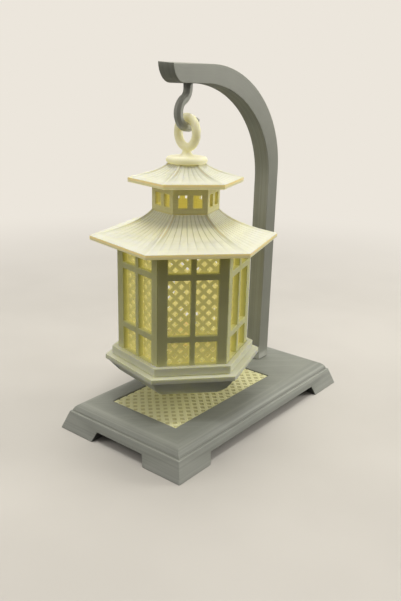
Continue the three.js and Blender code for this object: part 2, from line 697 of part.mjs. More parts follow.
// Flange and tapered underside, hollowed on top to hold the tealight.
function makeTray() {
  const ledge = trayRadius - TRAY_LEDGE;
  const foot = new THREE.Vector2(trayRadius - TRAY_TAPER, 0);
  const shoulder = new THREE.Vector2(ledge, flangeBottom);
  const out = new THREE.Vector2(flangeBottom, foot.x - ledge).normalize();
  const steps = 4;
  const taper = Array.from({ length: steps + 1 }, (_, i) => {
    const point = foot.clone().lerp(shoulder, i / steps);
    return point.addScaledVector(out, TRAY_BELLY * Math.sin((Math.PI * i) / steps)).toArray();
  });
  const body = hexagonal([
    [0, 0],
    ...taper,
    [trayRadius, flangeBottom],
    [trayRadius, flangeTop],
    [spigotOuter, flangeTop],
    [spigotOuter, flangeTop + TRAY_SPIGOT],
    [0, flangeTop + TRAY_SPIGOT],
  ]);
  const pocket = turned([
    [0, TRAY_FLOOR], [pocketRadius, TRAY_FLOOR],
    [pocketRadius, flangeTop + TRAY_SPIGOT + PAST], [0, flangeTop + TRAY_SPIGOT + PAST],
  ]);
  return part('tray', cut(body, pocket), ivory);
}

// Tealight. Heights here start at the tealight's underside.

const dishFloor = LIGHT_HEIGHT - LIGHT_DISH;
const cellBottom = BASE_PLATE + SEAT_GAP;
const cellTop = cellBottom + CELL_HEIGHT;
const plateRadius = LIGHT_RADIUS - LIGHT_WALL - SEAT_GAP;

function makeHousing() {
  const top = LIGHT_RADIUS - LIGHT_TAPER;
  const roof = dishFloor - LIGHT_WALL;
  const hole = LED_RADIUS + SEAT_GAP;
  return part('light_housing', turned([
    [LIGHT_RADIUS - LIGHT_WALL, 0],
    [LIGHT_RADIUS, 0],
    [top, LIGHT_HEIGHT - LIGHT_RIM_CHAMFER],
    [top - LIGHT_RIM_CHAMFER, LIGHT_HEIGHT],
    [top - LIGHT_RIM, LIGHT_HEIGHT],
    [top - LIGHT_RIM - LIGHT_DISH_SLOPE, dishFloor + LIGHT_DISH_STEP],
    [FLAME_RADIUS + FLAME_COLLAR, dishFloor],
    [FLAME_RADIUS + SEAT_GAP, dishFloor + FLAME_COLLAR_RISE],
    [FLAME_RADIUS + SEAT_GAP, dishFloor - LIGHT_WALL / 2],
    [hole, dishFloor - LIGHT_WALL / 2],
    [hole, roof],
    [top - LIGHT_WALL, roof],
    [LIGHT_RADIUS - LIGHT_WALL, 0],
  ]), white);
}

// Translucent flame, hollow over the LED.
function makeFlame() {
  const bottom = dishFloor - LIGHT_WALL / 2 + SEAT_GAP;
  const top = LIGHT_HEIGHT + FLAME_HEIGHT;
  const rise = top - bottom;
  // Shares of the radius and of the height
  const outer = [[1, 0], [1, 0.12], [0.93, 0.3], [0.72, 0.52], [0.42, 0.74], [0.17, 0.91], [0, 1]];
  const inner = [[0, 0.6], [0.5, 0.45], [0.92, 0.2], [1, 0]];
  const core = FLAME_RADIUS - FLAME_WALL;
  return part('flame_lens', turned([
    ...inner.map(([radius, height]) => [radius * core, bottom + height * rise]),
    ...outer.map(([radius, height]) => [radius * FLAME_RADIUS, bottom + height * rise]),
  ], 16), amber);
}

// LED dome on its collar, with two legs.
function makeLed() {
  const collar = dishFloor - LIGHT_WALL - SEAT_GAP;
  const collarBottom = collar - LED_COLLAR_HEIGHT;
  const collarRadius = LED_RADIUS + LED_COLLAR;
  const shoulder = collar + LED_HEIGHT - LED_RADIUS;
  const dome = [0, 30, 60, 90].map((degrees) => [
    LED_RADIUS * Math.cos(rad(degrees)), shoulder + LED_RADIUS * Math.sin(rad(degrees)),
  ]);
  dome[dome.length - 1][0] = 0;
  const lamp = turned([
    [0, collarBottom], [collarRadius, collarBottom], [collarRadius, collar], [LED_RADIUS, collar], ...dome,
  ], 12);
  const legFoot = cellTop + 2 * SEAT_GAP + CONTACT_THICKNESS;
  const legs = [-1, 1].map((side) => {
    const x = (side * LEG_SPACING) / 2;
    const half = LEG_WIDTH / 2;
    return box(x - half, x + half, -half, half, legFoot, collarBottom + LED_COLLAR_HEIGHT / 2);
  });
  return part('led', join(lamp, ...legs), amber);
}

function disc(radius, bottom, top) {
  return turned([[0, bottom], [radius, bottom], [radius, top], [0, top]]);
}

// Two lugs that lie over the edge of the door's hole. Turned by the twist, they meet its notches.
function lugs(radius, angle, bottom, top, turn) {
  const half = rad(angle / 2);
  const wedge = new THREE.Shape();
  wedge.absarc(0, 0, radius, -half, half, false);
  wedge.lineTo(0, 0);
  const one = prism(wedge, bottom, top);
  return join(one.rotate([0, 0, turn]), one.rotate([0, 0, turn + 180]));
}

function makeBasePlate() {
  const hole = disc(DOOR_RADIUS, -PAST, BASE_PLATE + PAST);
  const notchRadius = DOOR_RADIUS + DOOR_LUG + SEAT_GAP;
  const notches = lugs(notchRadius, DOOR_NOTCH_ANGLE, -PAST, BASE_PLATE + PAST, 90 + DOOR_TWIST);
  const door = join(hole, notches).translate([-DOOR_OFFSET, 0, 0]);
  const halfWidth = SWITCH_WIDTH / 2 + SEAT_GAP;
  const halfLength = (SWITCH_LENGTH + SWITCH_TRAVEL) / 2 + SEAT_GAP;
  const slot = box(
    SWITCH_OFFSET - halfWidth, SWITCH_OFFSET + halfWidth, -halfLength, halfLength, -PAST, BASE_PLATE + PAST
  );
  return part('light_base_plate', cut(disc(plateRadius, 0, BASE_PLATE), door, slot), white);
}

// Round cover under the cell, with a raised rim, two bayonet lugs and a slot for a coin.
function makeDoor() {
  const lugBottom = BASE_PLATE + SEAT_GAP;
  const lugTop = lugBottom + LUG_THICKNESS;
  const cover = disc(DOOR_RADIUS - SEAT_GAP, 0, lugTop);
  const lug = lugs(DOOR_RADIUS + DOOR_LUG, DOOR_LUG_ANGLE, lugBottom, lugTop, 90);
  const well = disc(CELL_RADIUS + SEAT_GAP, BASE_PLATE, lugTop + PAST);
  const coinSlot = box(
    -COIN_SLOT / 2, COIN_SLOT / 2, -COIN_SLOT_WIDTH / 2, COIN_SLOT_WIDTH / 2, -PAST, BASE_PLATE / 2
  );
  const door = cut(join(cover, lug), well, coinSlot).translate([-DOOR_OFFSET, 0, 0]);
  return part('battery_door', door, white);
}

function makeCell() {
  const lid = disc(CELL_RADIUS - CELL_LID_INSET, cellBottom, cellTop);
  const can = disc(CELL_RADIUS, cellBottom + CELL_LID_STEP, cellTop);
  return part('coin_cell', join(lid, can).translate([-DOOR_OFFSET, 0, 0]), steel);
}

// A bent strip of sheet metal, as level and upright runs from point to point in the XZ plane.
function bentStrip(points) {
  const half = CONTACT_THICKNESS / 2;
  const runs = points.slice(1).map(([x, z], i) => {
    const [fromX, fromZ] = points[i];
    return box(
      Math.min(x, fromX) - half, Math.max(x, fromX) + half, -CONTACT_WIDTH / 2, CONTACT_WIDTH / 2,
      Math.min(z, fromZ) - half, Math.max(z, fromZ) + half
    );
  });
  return join(...runs);
}

const contactLevel = cellTop + SEAT_GAP + CONTACT_THICKNESS / 2;
const switchTop = BASE_PLATE + SEAT_GAP + LUG_THICKNESS;

// Lies on the cell, under one leg of the LED.
function makeTopContact() {
  const ends = [[-DOOR_OFFSET - CONTACT_REACH, contactLevel], [-CONTACT_SPLIT / 2, contactLevel]];
  return part('top_contact', bentStrip(ends), steel);
}

// From the other leg over the cell's edge, down its side and out above the switch.
function makeSideContact() {
  const side = CELL_RADIUS - DOOR_OFFSET + SEAT_GAP + CONTACT_THICKNESS / 2;
  const foot = switchTop + SEAT_GAP + CONTACT_THICKNESS / 2;
  return part('side_contact', bentStrip([
    [CONTACT_SPLIT / 2, contactLevel], [side, contactLevel], [side, foot], [SWITCH_OFFSET, foot],
  ]), steel);
}

// Thumb nub in the plate's slot, held by a wider head inside.
function makeSwitch() {
  const y = -SWITCH_TRAVEL / 2;
  const nub = box(
    SWITCH_OFFSET - SWITCH_WIDTH / 2, SWITCH_OFFSET + SWITCH_WIDTH / 2,
    y - SWITCH_LENGTH / 2, y + SWITCH_LENGTH / 2, 0, switchTop
  );
  const headHalf = SWITCH_WIDTH / 2 + SEAT_GAP + SWITCH_HEAD;
  const head = box(
    SWITCH_OFFSET - headHalf, SWITCH_OFFSET + headHalf,
    y - SWITCH_LENGTH / 2, y + SWITCH_LENGTH / 2, BASE_PLATE + SEAT_GAP, switchTop
  );
  return part('switch_slider', join(nub, head), black);
}

// Assembly

const lantern = new THREE.Group();
lantern.position.set(lanternX, 0, lanternZ);
lantern.rotation.z = rad(FACE_ANGLE + LANTERN_TURN);
lantern.add(makeFinial(), makeUpperRoof(), makeClerestory(), makeMainRoof());
for (let face = 0; face < HEX; face += 1) lantern.add(makeWallFrame(face), makeScreen(face));
lantern.add(makePlinth(), makeTray());

const tealight = new THREE.Group();
tealight.position.set(lanternX, 0, lanternZ + TRAY_FLOOR + SEAT_GAP);
tealight.add(
  makeHousing(), makeFlame(), makeLed(), makeBasePlate(), makeDoor(), makeCell(),
  makeTopContact(), makeSideContact(), makeSwitch()
);

const assembly = new THREE.Group();
assembly.add(makeBase(), makeMat(), makeArm(), makeHook(), lantern, tealight);

export default assembly;
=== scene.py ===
"""Looks of a hexagonal tealight lantern that hangs from a hooked arm over a footed base.

Metres, +Z up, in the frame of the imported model. The stand is printed in grey plastic and the
lantern in ivory plastic that lets some light through. A battery tealight stands in its tray.
"""

import enum
import logging
import math
from collections.abc import Callable, Sequence
from dataclasses import dataclass, replace

import bmesh
import bpy
from mathutils import Matrix, Vector


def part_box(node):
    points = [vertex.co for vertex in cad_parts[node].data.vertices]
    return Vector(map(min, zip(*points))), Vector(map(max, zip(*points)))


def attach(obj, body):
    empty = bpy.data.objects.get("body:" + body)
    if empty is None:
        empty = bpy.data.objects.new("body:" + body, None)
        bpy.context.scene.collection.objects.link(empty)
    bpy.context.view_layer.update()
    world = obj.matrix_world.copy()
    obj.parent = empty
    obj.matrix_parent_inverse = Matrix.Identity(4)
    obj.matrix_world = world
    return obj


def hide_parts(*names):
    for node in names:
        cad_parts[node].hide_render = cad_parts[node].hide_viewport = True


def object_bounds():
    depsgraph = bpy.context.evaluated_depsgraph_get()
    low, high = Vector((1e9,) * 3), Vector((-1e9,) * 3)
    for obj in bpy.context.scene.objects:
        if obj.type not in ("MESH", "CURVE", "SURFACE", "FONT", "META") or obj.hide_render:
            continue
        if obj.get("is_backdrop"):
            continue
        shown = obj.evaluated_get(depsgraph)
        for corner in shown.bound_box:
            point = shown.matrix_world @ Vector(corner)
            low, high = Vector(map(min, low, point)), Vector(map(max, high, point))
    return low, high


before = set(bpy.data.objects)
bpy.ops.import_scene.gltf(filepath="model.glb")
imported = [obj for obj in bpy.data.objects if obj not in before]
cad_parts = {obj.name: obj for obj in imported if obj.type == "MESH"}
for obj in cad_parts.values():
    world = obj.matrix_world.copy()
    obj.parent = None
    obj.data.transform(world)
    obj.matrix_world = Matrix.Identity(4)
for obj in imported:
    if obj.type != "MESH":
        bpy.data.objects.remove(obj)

log = logging.getLogger("lantern")

MERGE_DISTANCE = 1e-6
FLAT_ANGLE = math.radians(0.5)
SEAT_GAP = 0.0003
AXIS_X = -0.0241
AXIS = Vector((AXIS_X, 0, 0))
UP = Vector((0, 0, 1))
HEX = 6
HEX_TURN = math.radians(18.3)

# What the meshes store for the materials
PLACE = "print_place"
BUILD_AXIS = "build_axis"
# Painted shade: how much darker tint each point gets, in the roofs' grooves, along their hips and under their
# eaves.
PAINTED_SHADE = "groove"
# Painted glow: a share of emission for each point, standing in for light from inside the lantern and through
# the plastic.
PAINTED_GLOW = "painted_glow_share"

Colour = tuple[float, float, float]
Profile = list[tuple[float, float]]


def tone(red: int, green: int, blue: int) -> Colour:
    """Turns a colour written as on a screen, from 0 to 255, into the light it stands for."""
    shares = (level / 255 for level in (red, green, blue))
    return tuple(share / 12.92 if share < 0.04045 else ((share + 0.055) / 1.055) ** 2.4 for share in shares)


NO_LIGHT = (0.0, 0.0, 0.0)
# Painted highlight: the paler colour that sharp edges take, standing in for light catching them.
EDGE_HIGHLIGHT = (0.8, 0.8, 0.76)
BACKDROP = tone(236, 230, 220)


# Wiring of node trees


class Wiring:
    """Adds nodes to one tree and links them."""

    def __init__(self, tree: bpy.types.NodeTree) -> None:
        """Keeps the tree that the nodes go into."""
        self.tree = tree

    def feed(self, target: bpy.types.NodeSocket, source: object) -> None:
        """Links a socket to the target, or sets the target to a plain value.

        Args:
            target: The input to feed.
            source: A socket or a plain value.
        """
        if isinstance(source, bpy.types.NodeSocket):
            self.tree.links.new(source, target)
        else:
            target.default_value = source

    def fill(self, node: bpy.types.Node, inputs: dict[str, object]) -> None:
        """Feeds a node's inputs by their names."""
        for name, source in inputs.items():
            self.feed(node.inputs[name], source)

    def node(self, kind: str, inputs: dict[str, object] | None = None, **settings: object) -> bpy.types.Node:
        """Adds a node.

        Args:
            kind: The node's type name.
            inputs: What its inputs get, by their names.
            settings: Properties to set on it.

        Returns:
            The new node.
        """
        made = self.tree.nodes.new(kind)
        for key, value in settings.items():
            setattr(made, key, value)
        self.fill(made, inputs or {})
        return made

    def row(self, kind: str, terms: Sequence[object], **settings: object) -> bpy.types.Node:
        """Adds a node and feeds its first inputs in order.

        Args:
            kind: The node's type name.
            terms: Sockets or plain values.
            settings: Properties to set on it.

        Returns:
            The new node.
        """
        made = self.node(kind, **settings)
        for target, term in zip(made.inputs, terms):
            self.feed(target, term)
        return made

    def math(self, operation: str, *terms: object) -> bpy.types.NodeSocket:
        """Works out a number from others, and returns its socket."""
        return self.row("ShaderNodeMath", terms, operation=operation).outputs[0]

    def vector(self, operation: str, *terms: object) -> bpy.types.Node:
        """Adds a Vector Math node with these inputs, and returns the node."""
        return self.row("ShaderNodeVectorMath", terms, operation=operation)

    def combine(self, *numbers: object) -> bpy.types.NodeSocket:
        """Joins three numbers to a vector, and returns its socket."""
        return self.row("ShaderNodeCombineXYZ", numbers).outputs[0]

    def split(self, vector: object) -> Sequence[bpy.types.NodeSocket]:
        """Parts a vector, and returns the sockets of its X, Y and Z."""
        return self.row("ShaderNodeSeparateXYZ", (vector,)).outputs[:]

    def ramp(
        self, value: object, low: float, high: float, to_low: float = 0.0, to_high: float = 1.0
    ) -> bpy.types.NodeSocket:
        """Maps a value smoothly from the range low to high to another one, and returns its socket."""
        terms = (value, low, high, to_low, to_high)
        return self.row("ShaderNodeMapRange", terms, interpolation_type="SMOOTHSTEP").outputs[0]

    def blend(self, share: object, first: object, second: object) -> bpy.types.NodeSocket:
        """Mixes two numbers by a share from 0 to 1, and returns the result's socket."""
        inputs = {"Factor": share, "A": first, "B": second}
        return self.node("ShaderNodeMix", inputs, data_type="FLOAT").outputs["Result"]

    def tint(self, share: object, first: object, second: object) -> bpy.types.NodeSocket:
        """Mixes two colours.

        Args:
            share: The second colour's share, from 0 to 1.
            first: A socket or a plain colour.
            second: A socket or a plain colour.

        Returns:
            The result's socket.
        """
        made = self.node("ShaderNodeMix", {"Factor": share}, data_type="RGBA")
        for target, term in zip(made.inputs[6:8], (first, second)):
            self.feed(target, term if isinstance(term, bpy.types.NodeSocket) else (*term, 1.0))
        return made.outputs[2]

    def noise(self, place: object, scale: object, detail: float = 2.0) -> bpy.types.NodeSocket:
        """Adds a Noise Texture at a place, and returns the socket of its value."""
        return self.node("ShaderNodeTexNoise", {"Vector": place, "Scale": scale, "Detail": detail}).outputs[0]

    def stored(self, name: str, output: str = "Fac") -> bpy.types.NodeSocket:
        """Reads what the mesh stores under a name, as a number or as a Vector."""
        return self.node("ShaderNodeAttribute", attribute_name=name).outputs[output]

    def coordinate(self, name: str = "Object") -> bpy.types.NodeSocket:
        """Reads one of the piece's own coordinates."""
        return self.node("ShaderNodeTexCoord").outputs[name]


@dataclass(frozen=True)
class Port:
    """A named input or output of a node group."""

    name: str
    kind: str
    value: object = None

    def open(self, tree: bpy.types.NodeTree, side: str) -> None:
        """Makes the socket, with its starting value.

        Args:
            tree: The group's tree.
            side: INPUT or OUTPUT.
        """
        made = tree.interface.new_socket(self.name, in_out=side, socket_type="NodeSocket" + self.kind)
        if self.value is not None:
            made.default_value = self.value


def new_group(name: str, kind: str, inputs: Sequence[Port], outputs: Sequence[Port]) -> tuple:
    """Makes an empty node group.

    Args:
        name: The group's name.
        kind: The type of its tree.
        inputs: Its named inputs.
        outputs: Its named outputs.

    Returns:
        The tree, its wiring, the sockets it is given by their names, and its output node.
    """
    tree = bpy.data.node_groups.new(name, kind)
    for side, ports in (("INPUT", inputs), ("OUTPUT", outputs)):
        for port in ports:
            port.open(tree, side)
    wires = Wiring(tree)
    return tree, wires, wires.node("NodeGroupInput").outputs, wires.node("NodeGroupOutput")


# Shader groups


def print_lines_group() -> bpy.types.NodeTree:
    """Builds the marks that printing leaves: layers on upright faces, strokes on level ones.

    Returns:
        The group. Its outputs are the height of the marks, the shade of the streaks among them
        and how level the face lay on the printer's bed, each from 0 to 1.
    """
    tree, wires, given, result = new_group(
        "PrintLines",
        "ShaderNodeTree",
        [Port("Layer", "Float", 0.0002), Port("Stroke", "Float", 0.00045), Port("Turn", "Float", 0.8)],
        [Port("Height", "Float"), Port("Streak", "Float"), Port("Level", "Float")],
    )
    place = wires.stored(PLACE, "Vector")
    turned_up = wires.vector("DOT_PRODUCT", wires.coordinate("Normal"), wires.stored(BUILD_AXIS, "Vector"))
    level = wires.ramp(wires.math("ABSOLUTE", turned_up.outputs["Value"]), 0.985, 0.998)
    x, y, z = wires.split(place)
    cosine = wires.math("COSINE", given["Turn"])
    sine = wires.math("SINE", given["Turn"])
    across = wires.math("ADD", wires.math("MULTIPLY", x, cosine), wires.math("MULTIPLY", y, sine))
    along = wires.math("SUBTRACT", wires.math("MULTIPLY", y, cosine), wires.math("MULTIPLY", x, sine))

    def bead(position: bpy.types.NodeSocket, pitch: bpy.types.NodeSocket) -> bpy.types.NodeSocket:
        """Rounds each line of a given pitch, and returns its height from 0 to 1."""
        swing = wires.math("SUBTRACT", wires.math("FRACT", wires.math("DIVIDE", position, pitch)), 0.5)
        return wires.math("MULTIPLY_ADD", wires.math("MULTIPLY", swing, swing), -4.0, 1.0)

    def streak(place: bpy.types.NodeSocket, scale: tuple[float, float, float]) -> bpy.types.NodeSocket:
        """Draws noise out along the lines, and returns its value."""
        return wires.noise(wires.vector("MULTIPLY", place, scale).outputs[0], 1.0, 4.0)

    side_streak = wires.ramp(streak(place, (7.0, 7.0, 1000.0)), 0.3, 0.7)
    strokes = streak(wires.combine(across, along, 0.0), (1200.0, 14.0, 0.0))
    top_streak = wires.ramp(strokes, 0.2, 0.8, 0.3, 0.7)
    shade = wires.blend(level, side_streak, top_streak)
    ridge = wires.blend(level, bead(z, given["Layer"]), bead(across, given["Stroke"]))
    wires.fill(result, {"Height": wires.blend(0.62, ridge, shade), "Streak": shade, "Level": level})
    return tree


def mottle_group() -> bpy.types.NodeTree:
    """Builds the slow change of shade over a moulded or printed face.

    Returns:
        The group. Its output runs from 0 to 1.
    """
    tree, wires, given, result = new_group(
        "Mottle", "ShaderNodeTree", [Port("Scale", "Float", 60.0)], [Port("Shade", "Float")]
    )
    cloud = wires.noise(wires.coordinate(), given["Scale"], 4.0)
    wires.feed(result.inputs["Shade"], wires.ramp(cloud, 0.3, 0.7))
    return tree


def crease_group() -> bpy.types.NodeTree:
    """Builds masks of sharp edges and of narrow hollows.

    Returns:
        The group. Edge is 1 on an outer edge and Hollow is 1 in a crease.
    """
    tree, wires, _, result = new_group(
        "Crease", "ShaderNodeTree", [], [Port("Edge", "Float"), Port("Hollow", "Float")]
    )
    point = wires.node("ShaderNodeNewGeometry").outputs["Pointiness"]
    wires.fill(result, {"Edge": wires.ramp(point, 0.51, 0.6), "Hollow": wires.ramp(point, 0.49, 0.42)})
    return tree


class Groups:
    """The shader groups, each built once."""

    made: dict[str, bpy.types.NodeTree] = {}

    @classmethod
    def place(
        cls, wires: Wiring, build: Callable[[], bpy.types.NodeTree], **values: float
    ) -> bpy.types.bpy_prop_collection:
        """Places a group in a material.

        Args:
            wires: The material's wiring.
            build: The function that builds the group.
            values: The group's inputs.

        Returns:
            The outputs of the group's node.
        """
        if build.__name__ not in cls.made:
            cls.made[build.__name__] = build()
        node = wires.node("ShaderNodeGroup", node_tree=cls.made[build.__name__])
        wires.fill(node, {name.capitalize(): value for name, value in values.items()})
        return node.outputs


# Finishes


def new_material(name: str) -> tuple[bpy.types.Material, Wiring, bpy.types.Node]:
    """Makes a material.

    Args:
        name: Its name.

    Returns:
        The material, its wiring and the node of its Principled shader.
    """
    material = bpy.data.materials.new(name)
    material.use_nodes = True
    return material, Wiring(material.node_tree), material.node_tree.nodes["Principled BSDF"]


def add_relief(
    wires: Wiring, shader: bpy.types.Node, height: bpy.types.NodeSocket, strength: float, depth: float
) -> None:
    """Raises fine marks on a finish.

    Args:
        wires: The material's wiring.
        shader: The shader whose normal they turn.
        height: The marks' height from 0 to 1.
        strength: How much they count.
        depth: How high they are.
    """
    bump = wires.node("ShaderNodeBump", {"Strength": strength, "Distance": depth, "Height": height})
    wires.feed(shader.inputs["Normal"], bump.outputs["Normal"])


def scatter(weight: float, radius: Colour, depth: float) -> dict[str, object]:
    """Gives the shader's inputs for light that passes under the surface."""
    return {"Subsurface Weight": weight, "Subsurface Radius": radius, "Subsurface Scale": depth}


@dataclass(frozen=True)
class PrintedPlastic:
    """Plastic that a printer laid down in layers."""

    name: str
    light: Colour
    dark: Colour
    # Painted shade: the darker colour that creases, grooves, hips and eaves take.
    hollow: Colour
    roughness: float
    turn: float
    relief: float
    glow: float = 0.0
    glow_colour: Colour = (1.0, 1.0, 0.5)
    glow_depth: float = 0.0015
    # Colour of the painted glow that the surface emits.
    inner: Colour = NO_LIGHT
    layer: float = 0.0002
    stroke: float = 0.00045
    mottle: float = 55.0
    contrast: float = 0.5
    # How much of the painted shade the creases get.
    crease: float = 0.5
    # How much of the painted highlight sharp edges get.
    edge_highlight: float = 0.0
    gloss: float = 0.28
    # The darker colour of the painted shade in the roofs' grooves.
    groove: Colour | None = None

    def build(self) -> bpy.types.Material:
        """Makes the material: streaked colour, layered relief, a little light through it, painted shade in
        creases and grooves, painted highlights on sharp edges and, where it has an inner colour, a painted
        glow.

        Returns:
            The material.
        """
        material, wires, shader = new_material(self.name)
        lines = Groups.place(wires, print_lines_group, layer=self.layer, stroke=self.stroke, turn=self.turn)
        mottle = Groups.place(wires, mottle_group, scale=self.mottle)["Shade"]
        crease = Groups.place(wires, crease_group)
        shade = wires.blend(self.contrast, mottle, lines["Streak"])
        # Painted shade: creases, and the roofs' grooves, hips and eaves, are tinted darker.
        groove = wires.stored(PAINTED_SHADE)
        deep = wires.math("MAXIMUM", wires.math("MULTIPLY", crease["Hollow"], self.crease), groove)
        hollow = self.hollow
        if self.groove:
            hollow = wires.tint(wires.ramp(groove, 0.36, 0.5), self.groove, self.hollow)
        colour = wires.tint(deep, wires.tint(shade, self.dark, self.light), hollow)
        # Painted highlight: sharp edges are tinted paler.
        edge_lit = wires.math("MULTIPLY", crease["Edge"], self.edge_highlight)
        rough = wires.math("MULTIPLY_ADD", lines["Streak"], -0.12, self.roughness + 0.06)
        wires.fill(shader, {"Base Color": wires.tint(edge_lit, colour, EDGE_HIGHLIGHT), "Roughness": rough})
        wires.fill(shader, {"Specular IOR Level": self.gloss})
        wires.fill(shader, scatter(self.glow, self.glow_colour, self.glow_depth))
        add_relief(wires, shader, lines["Height"], 0.6, self.relief)
        # Painted glow: the surface emits light, standing in for the lantern's inner light passing through the
        # plastic.
        if any(self.inner):
            light = wires.stored(PAINTED_GLOW)
            glow_tint = wires.tint(light, NO_LIGHT, self.inner)
            glow_emission = wires.vector("MULTIPLY", glow_tint, wires.combine(1.0, 1.0, light)).outputs[0]
            wires.fill(shader, {"Emission Color": glow_emission, "Emission Strength": 1.0})
        return material


@dataclass(frozen=True)
class MouldedPlastic:
    """Plastic from a mould, with a faint grain."""

    name: str
    light: Colour
    dark: Colour
    roughness: float
    mottle: float = 90.0
    grain: float = 2600.0
    relief: float = 0.00002
    glow: float = 0.0

    def build(self) -> bpy.types.Material:
        """Makes the material: mottled colour, with painted shade in creases, under a faint grain.

        Returns:
            The material.
        """
        material, wires, shader = new_material(self.name)
        mottle = Groups.place(wires, mottle_group, scale=self.mottle)["Shade"]
        # Painted shade: creases are drawn darker.
        shade = wires.math("SUBTRACT", mottle, Groups.place(wires, crease_group)["Hollow"])
        grain = wires.noise(wires.coordinate(), self.grain)
        rough = wires.ramp(grain, 0.3, 0.7, self.roughness, self.roughness + 0.1)
        wires.fill(shader, {"Base Color": wires.tint(shade, self.dark, self.light), "Roughness": rough})
        wires.fill(shader, scatter(self.glow, (1.0, 0.9, 0.7), 0.001))
        add_relief(wires, shader, grain, 0.4, self.relief)
        return material


@dataclass(frozen=True)
class LensPlastic:
    """Clouded plastic of the flame, warmer towards its foot."""

    name: str
    tip: Colour
    foot: Colour
    low: float
    high: float
    strength: float
    mottle: float = 200.0
    roughness: float = 0.35

    def build(self) -> bpy.types.Material:
        """Makes the material: a tint that warms towards the foot.

        Returns:
            The material.
        """
        material, wires, shader = new_material(self.name)
        share = wires.ramp(wires.split(wires.coordinate())[2], self.low, self.high)
        share = wires.blend(0.15, share, Groups.place(wires, mottle_group, scale=self.mottle)["Shade"])
        colour = wires.tint(share, self.foot, self.tip)
        wires.fill(shader, {"Base Color": colour, "Roughness": self.roughness})
        wires.fill(shader, {"Emission Color": colour, "Emission Strength": self.strength})
        wires.fill(shader, scatter(0.5, (1.0, 0.6, 0.2), 0.002))
        return material


@dataclass(frozen=True)
class PlatedMetal:
    """Nickel plate, rubbed in one direction."""

    name: str
    light: Colour
    dark: Colour
    roughness: float
    rub: tuple[float, float, float] = (900.0, 12000.0, 900.0)
    relief: float = 0.00001

    def build(self) -> bpy.types.Material:
        """Makes the material: bright plate with fine rubs.

        Returns:
            The material.
        """
        material, wires, shader = new_material(self.name)
        scratch = wires.noise(wires.vector("MULTIPLY", wires.coordinate(), self.rub).outputs[0], 1.0, 3.0)
        shade = wires.math("ADD", scratch, Groups.place(wires, crease_group)["Edge"])
        rough = wires.ramp(scratch, 0.3, 0.7, self.roughness, self.roughness + 0.15)
        wires.fill(shader, {"Base Color": wires.tint(shade, self.dark, self.light), "Roughness": rough})
        wires.fill(shader, {"Metallic": 1.0})
        add_relief(wires, shader, scratch, 0.3, self.relief)
        return material


SLANTED = 0.785
# Its hollow colour is painted shade in creases.
GREY = PrintedPlastic(
    "grey_print", tone(153, 155, 147), tone(126, 129, 123), tone(92, 93, 87), roughness=0.5,
    turn=SLANTED, relief=0.00007, contrast=0.75, edge_highlight=0.3,
)
# Partly painted light: the arm's copy of the grey print has its print lines along the bar, and lighter tones
# that stand in for light on the arm.
GREY_ALONG = replace(
    GREY, name="grey_print_along", light=tone(155, 156, 146), dark=tone(139, 140, 131), roughness=0.42,
    turn=0.0, relief=0.00006, contrast=0.65, edge_highlight=0.5,
)
# Painted light: a much lighter copy of the grey print for the hook, standing in for light on its facets.
GREY_HOOK = replace(
    GREY_ALONG, name="grey_print_hook", light=tone(183, 184, 175), dark=tone(163, 164, 156)
)
# Its inner colour is painted glow, and its hollow colour painted shade in creases.
IVORY = PrintedPlastic(
    "ivory_print", tone(223, 224, 211), tone(215, 216, 198), tone(212, 196, 138), roughness=0.48,
    turn=SLANTED, relief=0.00004, glow=0.85, glow_depth=0.0016, inner=(0.165, 0.152, 0.066),
)
# Its hollow and groove colours are painted shade in the creases, grooves, hips and eaves, and its inner
# colour painted glow.
IVORY_ROOF = replace(
    IVORY, name="ivory_print_roof", light=tone(228, 228, 214), dark=tone(221, 220, 202),
    hollow=tone(204, 174, 104), inner=(0.3, 0.25, 0.11), groove=tone(118, 122, 40),
)
# Its hollow colour is painted shade in the dimples' creases.
IVORY_MAT = replace(
    IVORY, name="ivory_print_mat", light=tone(240, 237, 192), dark=tone(230, 226, 178),
    hollow=tone(170, 158, 96), roughness=0.55, relief=0.00006, glow=0.3, glow_depth=0.0008, inner=NO_LIGHT,
)
# Painted shade and glow: a darker, yellower copy of the ivory for the clerestory, with a painted glow of its
# own.
IVORY_COLLAR = replace(
    IVORY, name="ivory_print_collar", light=tone(231, 225, 174), dark=tone(219, 212, 156),
    hollow=tone(176, 163, 96), glow=0.5, glow_depth=0.001, inner=(0.12, 0.098, 0.016),
)
# Painted shade: a darker, yellower copy of the ivory for the frames, which lie under the eaves, with a
# painted glow.
IVORY_FRAME = replace(
    IVORY, name="ivory_print_frame", light=tone(226, 225, 174), dark=tone(208, 206, 152),
    hollow=tone(156, 145, 90), turn=0.0, glow=0.5, glow_depth=0.002, inner=(0.145, 0.123, 0.052),
)
# Painted glow: a yellower copy of the frames' ivory for the screens, standing in for light through them.
IVORY_SCREEN = replace(
    IVORY_FRAME, name="ivory_print_screen", light=tone(214, 206, 136), dark=tone(200, 191, 118),
    hollow=tone(148, 138, 90), inner=(0.3, 0.277, 0.15),
)
WHITE = MouldedPlastic("white_moulding", (0.82, 0.79, 0.64), (0.7, 0.67, 0.52), 0.32, glow=0.2)
BLACK = MouldedPlastic("black_moulding", (0.03, 0.03, 0.032), (0.015, 0.015, 0.016), 0.5)
NICKEL = PlatedMetal("nickel", (0.75, 0.75, 0.73), (0.5, 0.5, 0.49), 0.28)


# Meshes


@dataclass(frozen=True)
class Bed:
    """How a piece lay on the printer's bed: two level directions and the way up."""

    across: Vector
    along: Vector
    up: Vector

    def place(self, point: Vector) -> Vector:
        """Gives a point's place over the bed."""
        return Vector((point.dot(self.across), point.dot(self.along), point.dot(self.up)))


UPRIGHT = Bed(Vector((1, 0, 0)), Vector((0, 1, 0)), UP)
SIDE_UP = Bed(Vector((1, 0, 0)), UP, Vector((0, 1, 0)))


